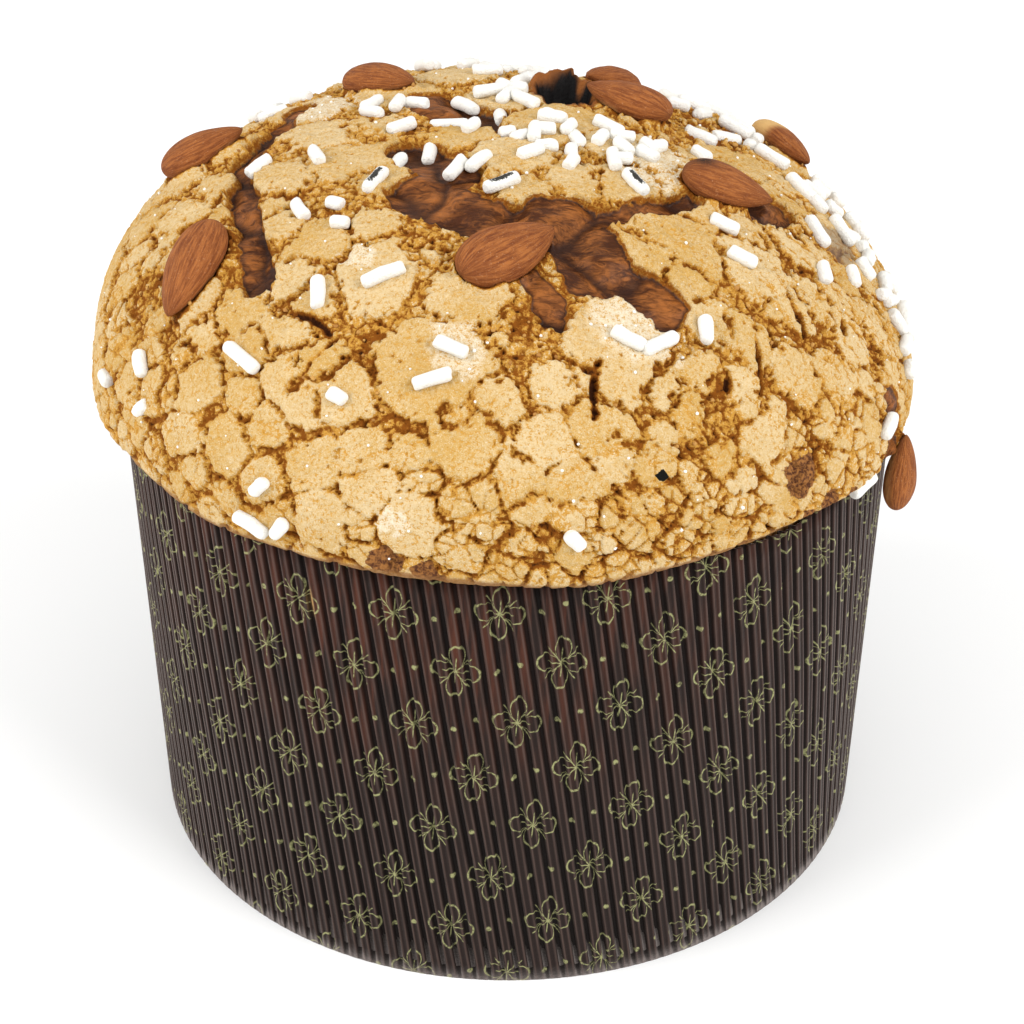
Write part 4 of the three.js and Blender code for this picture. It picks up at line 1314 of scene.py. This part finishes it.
class PANETTONE_OT_case(bpy.types.Operator):
    """Fluted paper case, in place of its CAD node."""

    bl_idname = "panettone.case"
    bl_label = "Paper case"

    def execute(self, context):
        """Cup whose wall repeats a flute: a flat ridge with crisp shoulders, then a valley.

        Columns start at the seam at the back and lean as they rise, more so on the right.
        """
        settings = context.scene.panettone_case
        base, top = settings.base_radius / MM, settings.top_radius / MM
        columns = FLUTE_COUNT * CASE_COLUMNS_PER_FLUTE
        share = np.arange(columns) / columns
        foot_azimuth = 2 * np.pi * share - np.pi
        phase = fraction(share * FLUTE_COUNT)
        dip = smooth(0.52, 0.66, phase) * smooth(1.0, 0.86, phase)
        # Shoulder lines, which the material lights up as painted highlights
        shoulder = sum(np.exp(-(((phase - at) / 0.055) ** 2)) for at in (0.47, 0.04))
        middle = np.exp(-(((phase - 0.255) / 0.10) ** 2))
        full_lean = math.tan(math.radians(FLUTE_LEAN)) * LIP_HEIGHT / CASE_TOP_RADIUS
        level, at_foot = np.meshgrid(np.linspace(0, 1, CASE_RINGS), foot_azimuth, indexing="ij")
        wave = np.stack([np.cos(at_foot) * 9, np.sin(at_foot) * 9, level * 2.5], axis=-1)
        wave = 0.006 * noise(wave.reshape(-1, 3), 1.0, 101).reshape(level.shape)
        azimuth = at_foot - full_lean * level * (1 + 0.25 * np.sin(at_foot)) - wave
        z = level * rim_height(azimuth)
        depth = (settings.flute_depth / MM * dip + 0.14 * middle)[None] * smooth(-0.4, 2.2, z)
        radius = lerp(base, top, z / LIP_HEIGHT) - depth
        outer = polar(radius, azimuth, z)
        inner = polar(radius[::-5] - PAPER_WALL, azimuth[::-5], np.maximum(z[::-5], PAPER_FLOOR))
        grid = np.concatenate([outer, inner])
        rows = len(grid)
        points = np.concatenate([grid.reshape(-1, 3), [[0, 0, 0], [0, 0, PAPER_FLOOR]]])
        k, c = np.meshgrid(np.arange(rows - 1), np.arange(columns), indexing="ij")
        n = (c + 1) % columns
        quads = np.stack([k * columns + c, k * columns + n, (k + 1) * columns + n,
                          (k + 1) * columns + c], axis=-1).reshape(-1, 4)
        c = np.arange(columns)
        n = (c + 1) % columns
        under, over = len(points) - 2, len(points) - 1
        last = (rows - 1) * columns
        caps = [np.stack([np.full(columns, under), n, c], axis=1),
                np.stack([np.full(columns, over), last + c, last + n], axis=1)]
        faces = [quads, np.concatenate(caps)]
        flat = np.concatenate([azimuth.ravel(), azimuth[::-5].ravel(), [0, 0]])
        height = points[:, 2]
        outside = (np.arange(len(points)) < azimuth.size).astype(float)
        shoulder = np.concatenate([np.tile(shoulder, rows), [0, 0]])
        # Valley share, which the material darkens as painted shade
        valley = np.concatenate([np.tile(dip, rows), [0, 0]])
        grease = (bell(flat, -12, 42) * smooth(40, 85, height) + 0.35 * smooth(96, 106, height)
                  + 0.25 * bell(flat, 160, 60) * smooth(50, 90, height)) * outside
        radius, turn, tall = CASE_TEAR
        tear = polar(np.array([radius]), np.radians([turn]), tall)
        bare = smooth(1.0, 0.4, np.linalg.norm(points - tear, axis=1))
        piece = make_piece("fluted_case", points, faces, case_material(settings), {
            "wrap": np.stack([flat * top, height, np.zeros_like(flat)], axis=1),
            "outside": outside, "shoulder": shoulder, "valley": valley,
            "grease": np.clip(grease, 0, 1), "bare": bare * outside})
        self.add_lattice(piece.data, azimuth, z)
        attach(piece, "root")
        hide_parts("paper_case")
        return {"FINISHED"}

    def add_lattice(self, mesh, azimuth, z):
        """Coordinates of the printed lattice on every face corner of the outer wall.

        With a the azimuth and h the height, row = (98.96 - h + 1.048 column) / 13.63 and
        a = -0.0183 + 0.1259 column + 0.02023 row, solved for the column. Corners past the
        last column go on past the seam instead of jumping back.
        """
        corner = np.full((len(mesh.loops), 3), OFF_LATTICE)
        rows, columns = azimuth.shape
        k, c = np.meshgrid(np.arange(rows - 1), np.arange(columns), indexing="ij")
        around = np.concatenate([azimuth, azimuth[:, :1] + 2 * np.pi], axis=1)
        tall = np.concatenate([z, z[:, :1]], axis=1)
        picked = [(k, c), (k, c + 1), (k + 1, c + 1), (k + 1, c)]
        a = np.stack([around[rc] for rc in picked], axis=-1).ravel() - PRINT_START[0]
        drop = PRINT_START[1] - np.stack([tall[rc] for rc in picked], axis=-1).ravel()
        column = (a - PRINT_TURN_PER_ROW * drop / PRINT_DROP) / (
            PRINT_TURN + PRINT_TURN_PER_ROW * PRINT_RISE_PER_COLUMN / PRINT_DROP)
        row = (drop + PRINT_RISE_PER_COLUMN * column) / PRINT_DROP
        corner[:len(column), 0] = column
        corner[:len(row), 1] = row
        lattice = mesh.attributes.new("lattice", "FLOAT_VECTOR", "CORNER")
        lattice.data.foreach_set("vector", corner.astype(np.float32).ravel())


class PANETTONE_OT_stage(bpy.types.Operator):
    """Pale floor, soft lights, white surround and the photograph's camera."""

    bl_idname = "panettone.stage"
    bl_label = "Stage"

    def execute(self, context):
        settings = context.scene.panettone_stage
        half = settings.floor_side / 2 / MM
        material, shades, shader = new_material(
            "floor", {"Roughness": 0.9, "Specular IOR Level": 0.1})
        finish_material(shades, shader, settings.floor)
        corners = [(-half, -half, 0), (half, -half, 0), (half, half, 0), (-half, half, 0)]
        floor = make_piece("floor", corners, np.array([(0, 1, 2, 3)]), material)
        self.add_light("key", KEY_PLACE, settings.key_power)
        self.add_light("fill", FILL_PLACE, settings.fill_power)
        world = bpy.data.worlds.new("surround")
        world.use_nodes = True
        background = next(n for n in world.node_tree.nodes if n.type == "BACKGROUND")
        background.inputs["Color"].default_value = (1.0, 1.0, 1.0, 1.0)
        background.inputs["Strength"].default_value = settings.sky
        context.scene.world = world
        camera_data = bpy.data.cameras.new("camera")
        camera_data.lens = CAMERA_LENS
        camera_data.sensor_width = SENSOR_WIDTH
        camera_data.clip_start = NEAR_CLIP
        camera = bpy.data.objects.new("camera", camera_data)
        camera.location = [v * MM for v in CAMERA_PLACE]
        camera.rotation_euler = (math.radians(CAMERA_TILT), 0.0, 0.0)
        context.scene.collection.objects.link(camera)
        context.scene.camera = camera
        context.scene.view_settings.view_transform = "Standard"
        return {"FINISHED"}

    def add_light(self, name, place, power):
        """Square area light that faces the middle of the cake."""
        data = bpy.data.lights.new(name, "AREA")
        data.shape = "SQUARE"
        data.size = LIGHT_SIDE
        data.energy = power
        light = bpy.data.objects.new(name, data)
        light.location = place
        aim = np.subtract(LIGHT_AIM, place)
        yaw = math.atan2(aim[1], aim[0]) - math.pi / 2
        pitch = math.atan2(math.hypot(aim[0], aim[1]), -aim[2])
        light.rotation_euler = (pitch, 0.0, yaw)
        bpy.context.scene.collection.objects.link(light)


class PANETTONE_PT_panel(bpy.types.Panel):
    """Buttons for each piece, with its settings."""

    bl_idname = "PANETTONE_PT_panel"
    bl_label = "Panettone"
    bl_space_type = "VIEW_3D"
    bl_region_type = "UI"
    bl_category = "Panettone"

    def draw(self, context):
        for operator in OPERATORS:
            self.layout.operator(operator.bl_idname)
        for name in SETTINGS:
            group = getattr(context.scene, name)
            box = self.layout.box()
            for key in group.__annotations__:
                box.prop(group, key)


SETTINGS = {
    "panettone_case": CaseSettings,
    "panettone_crust": CrustSettings,
    "panettone_toppings": ToppingSettings,
    "panettone_stage": StageSettings,
}
OPERATORS = (PANETTONE_OT_crust, PANETTONE_OT_almonds, PANETTONE_OT_rods, PANETTONE_OT_crumbs,
             PANETTONE_OT_case, PANETTONE_OT_stage)


def register():
    """Registers the settings, the operators and the panel."""
    for name, group in SETTINGS.items():
        bpy.utils.register_class(group)
        setattr(bpy.types.Scene, name, bpy.props.PointerProperty(type=group))
    for cls in (*OPERATORS, PANETTONE_PT_panel):
        bpy.utils.register_class(cls)


def unregister():
    """Takes back what register() added."""
    for cls in (PANETTONE_PT_panel, *reversed(OPERATORS)):
        bpy.utils.unregister_class(cls)
    for name, group in reversed(SETTINGS.items()):
        delattr(bpy.types.Scene, name)
        bpy.utils.unregister_class(group)


def main():
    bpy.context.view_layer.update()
    register()
    bpy.ops.panettone.crust()
    bpy.ops.panettone.almonds()
    bpy.ops.panettone.rods()
    bpy.ops.panettone.crumbs()
    bpy.ops.panettone.case()
    bpy.ops.panettone.stage()


if __name__ == "__main__":
    main()
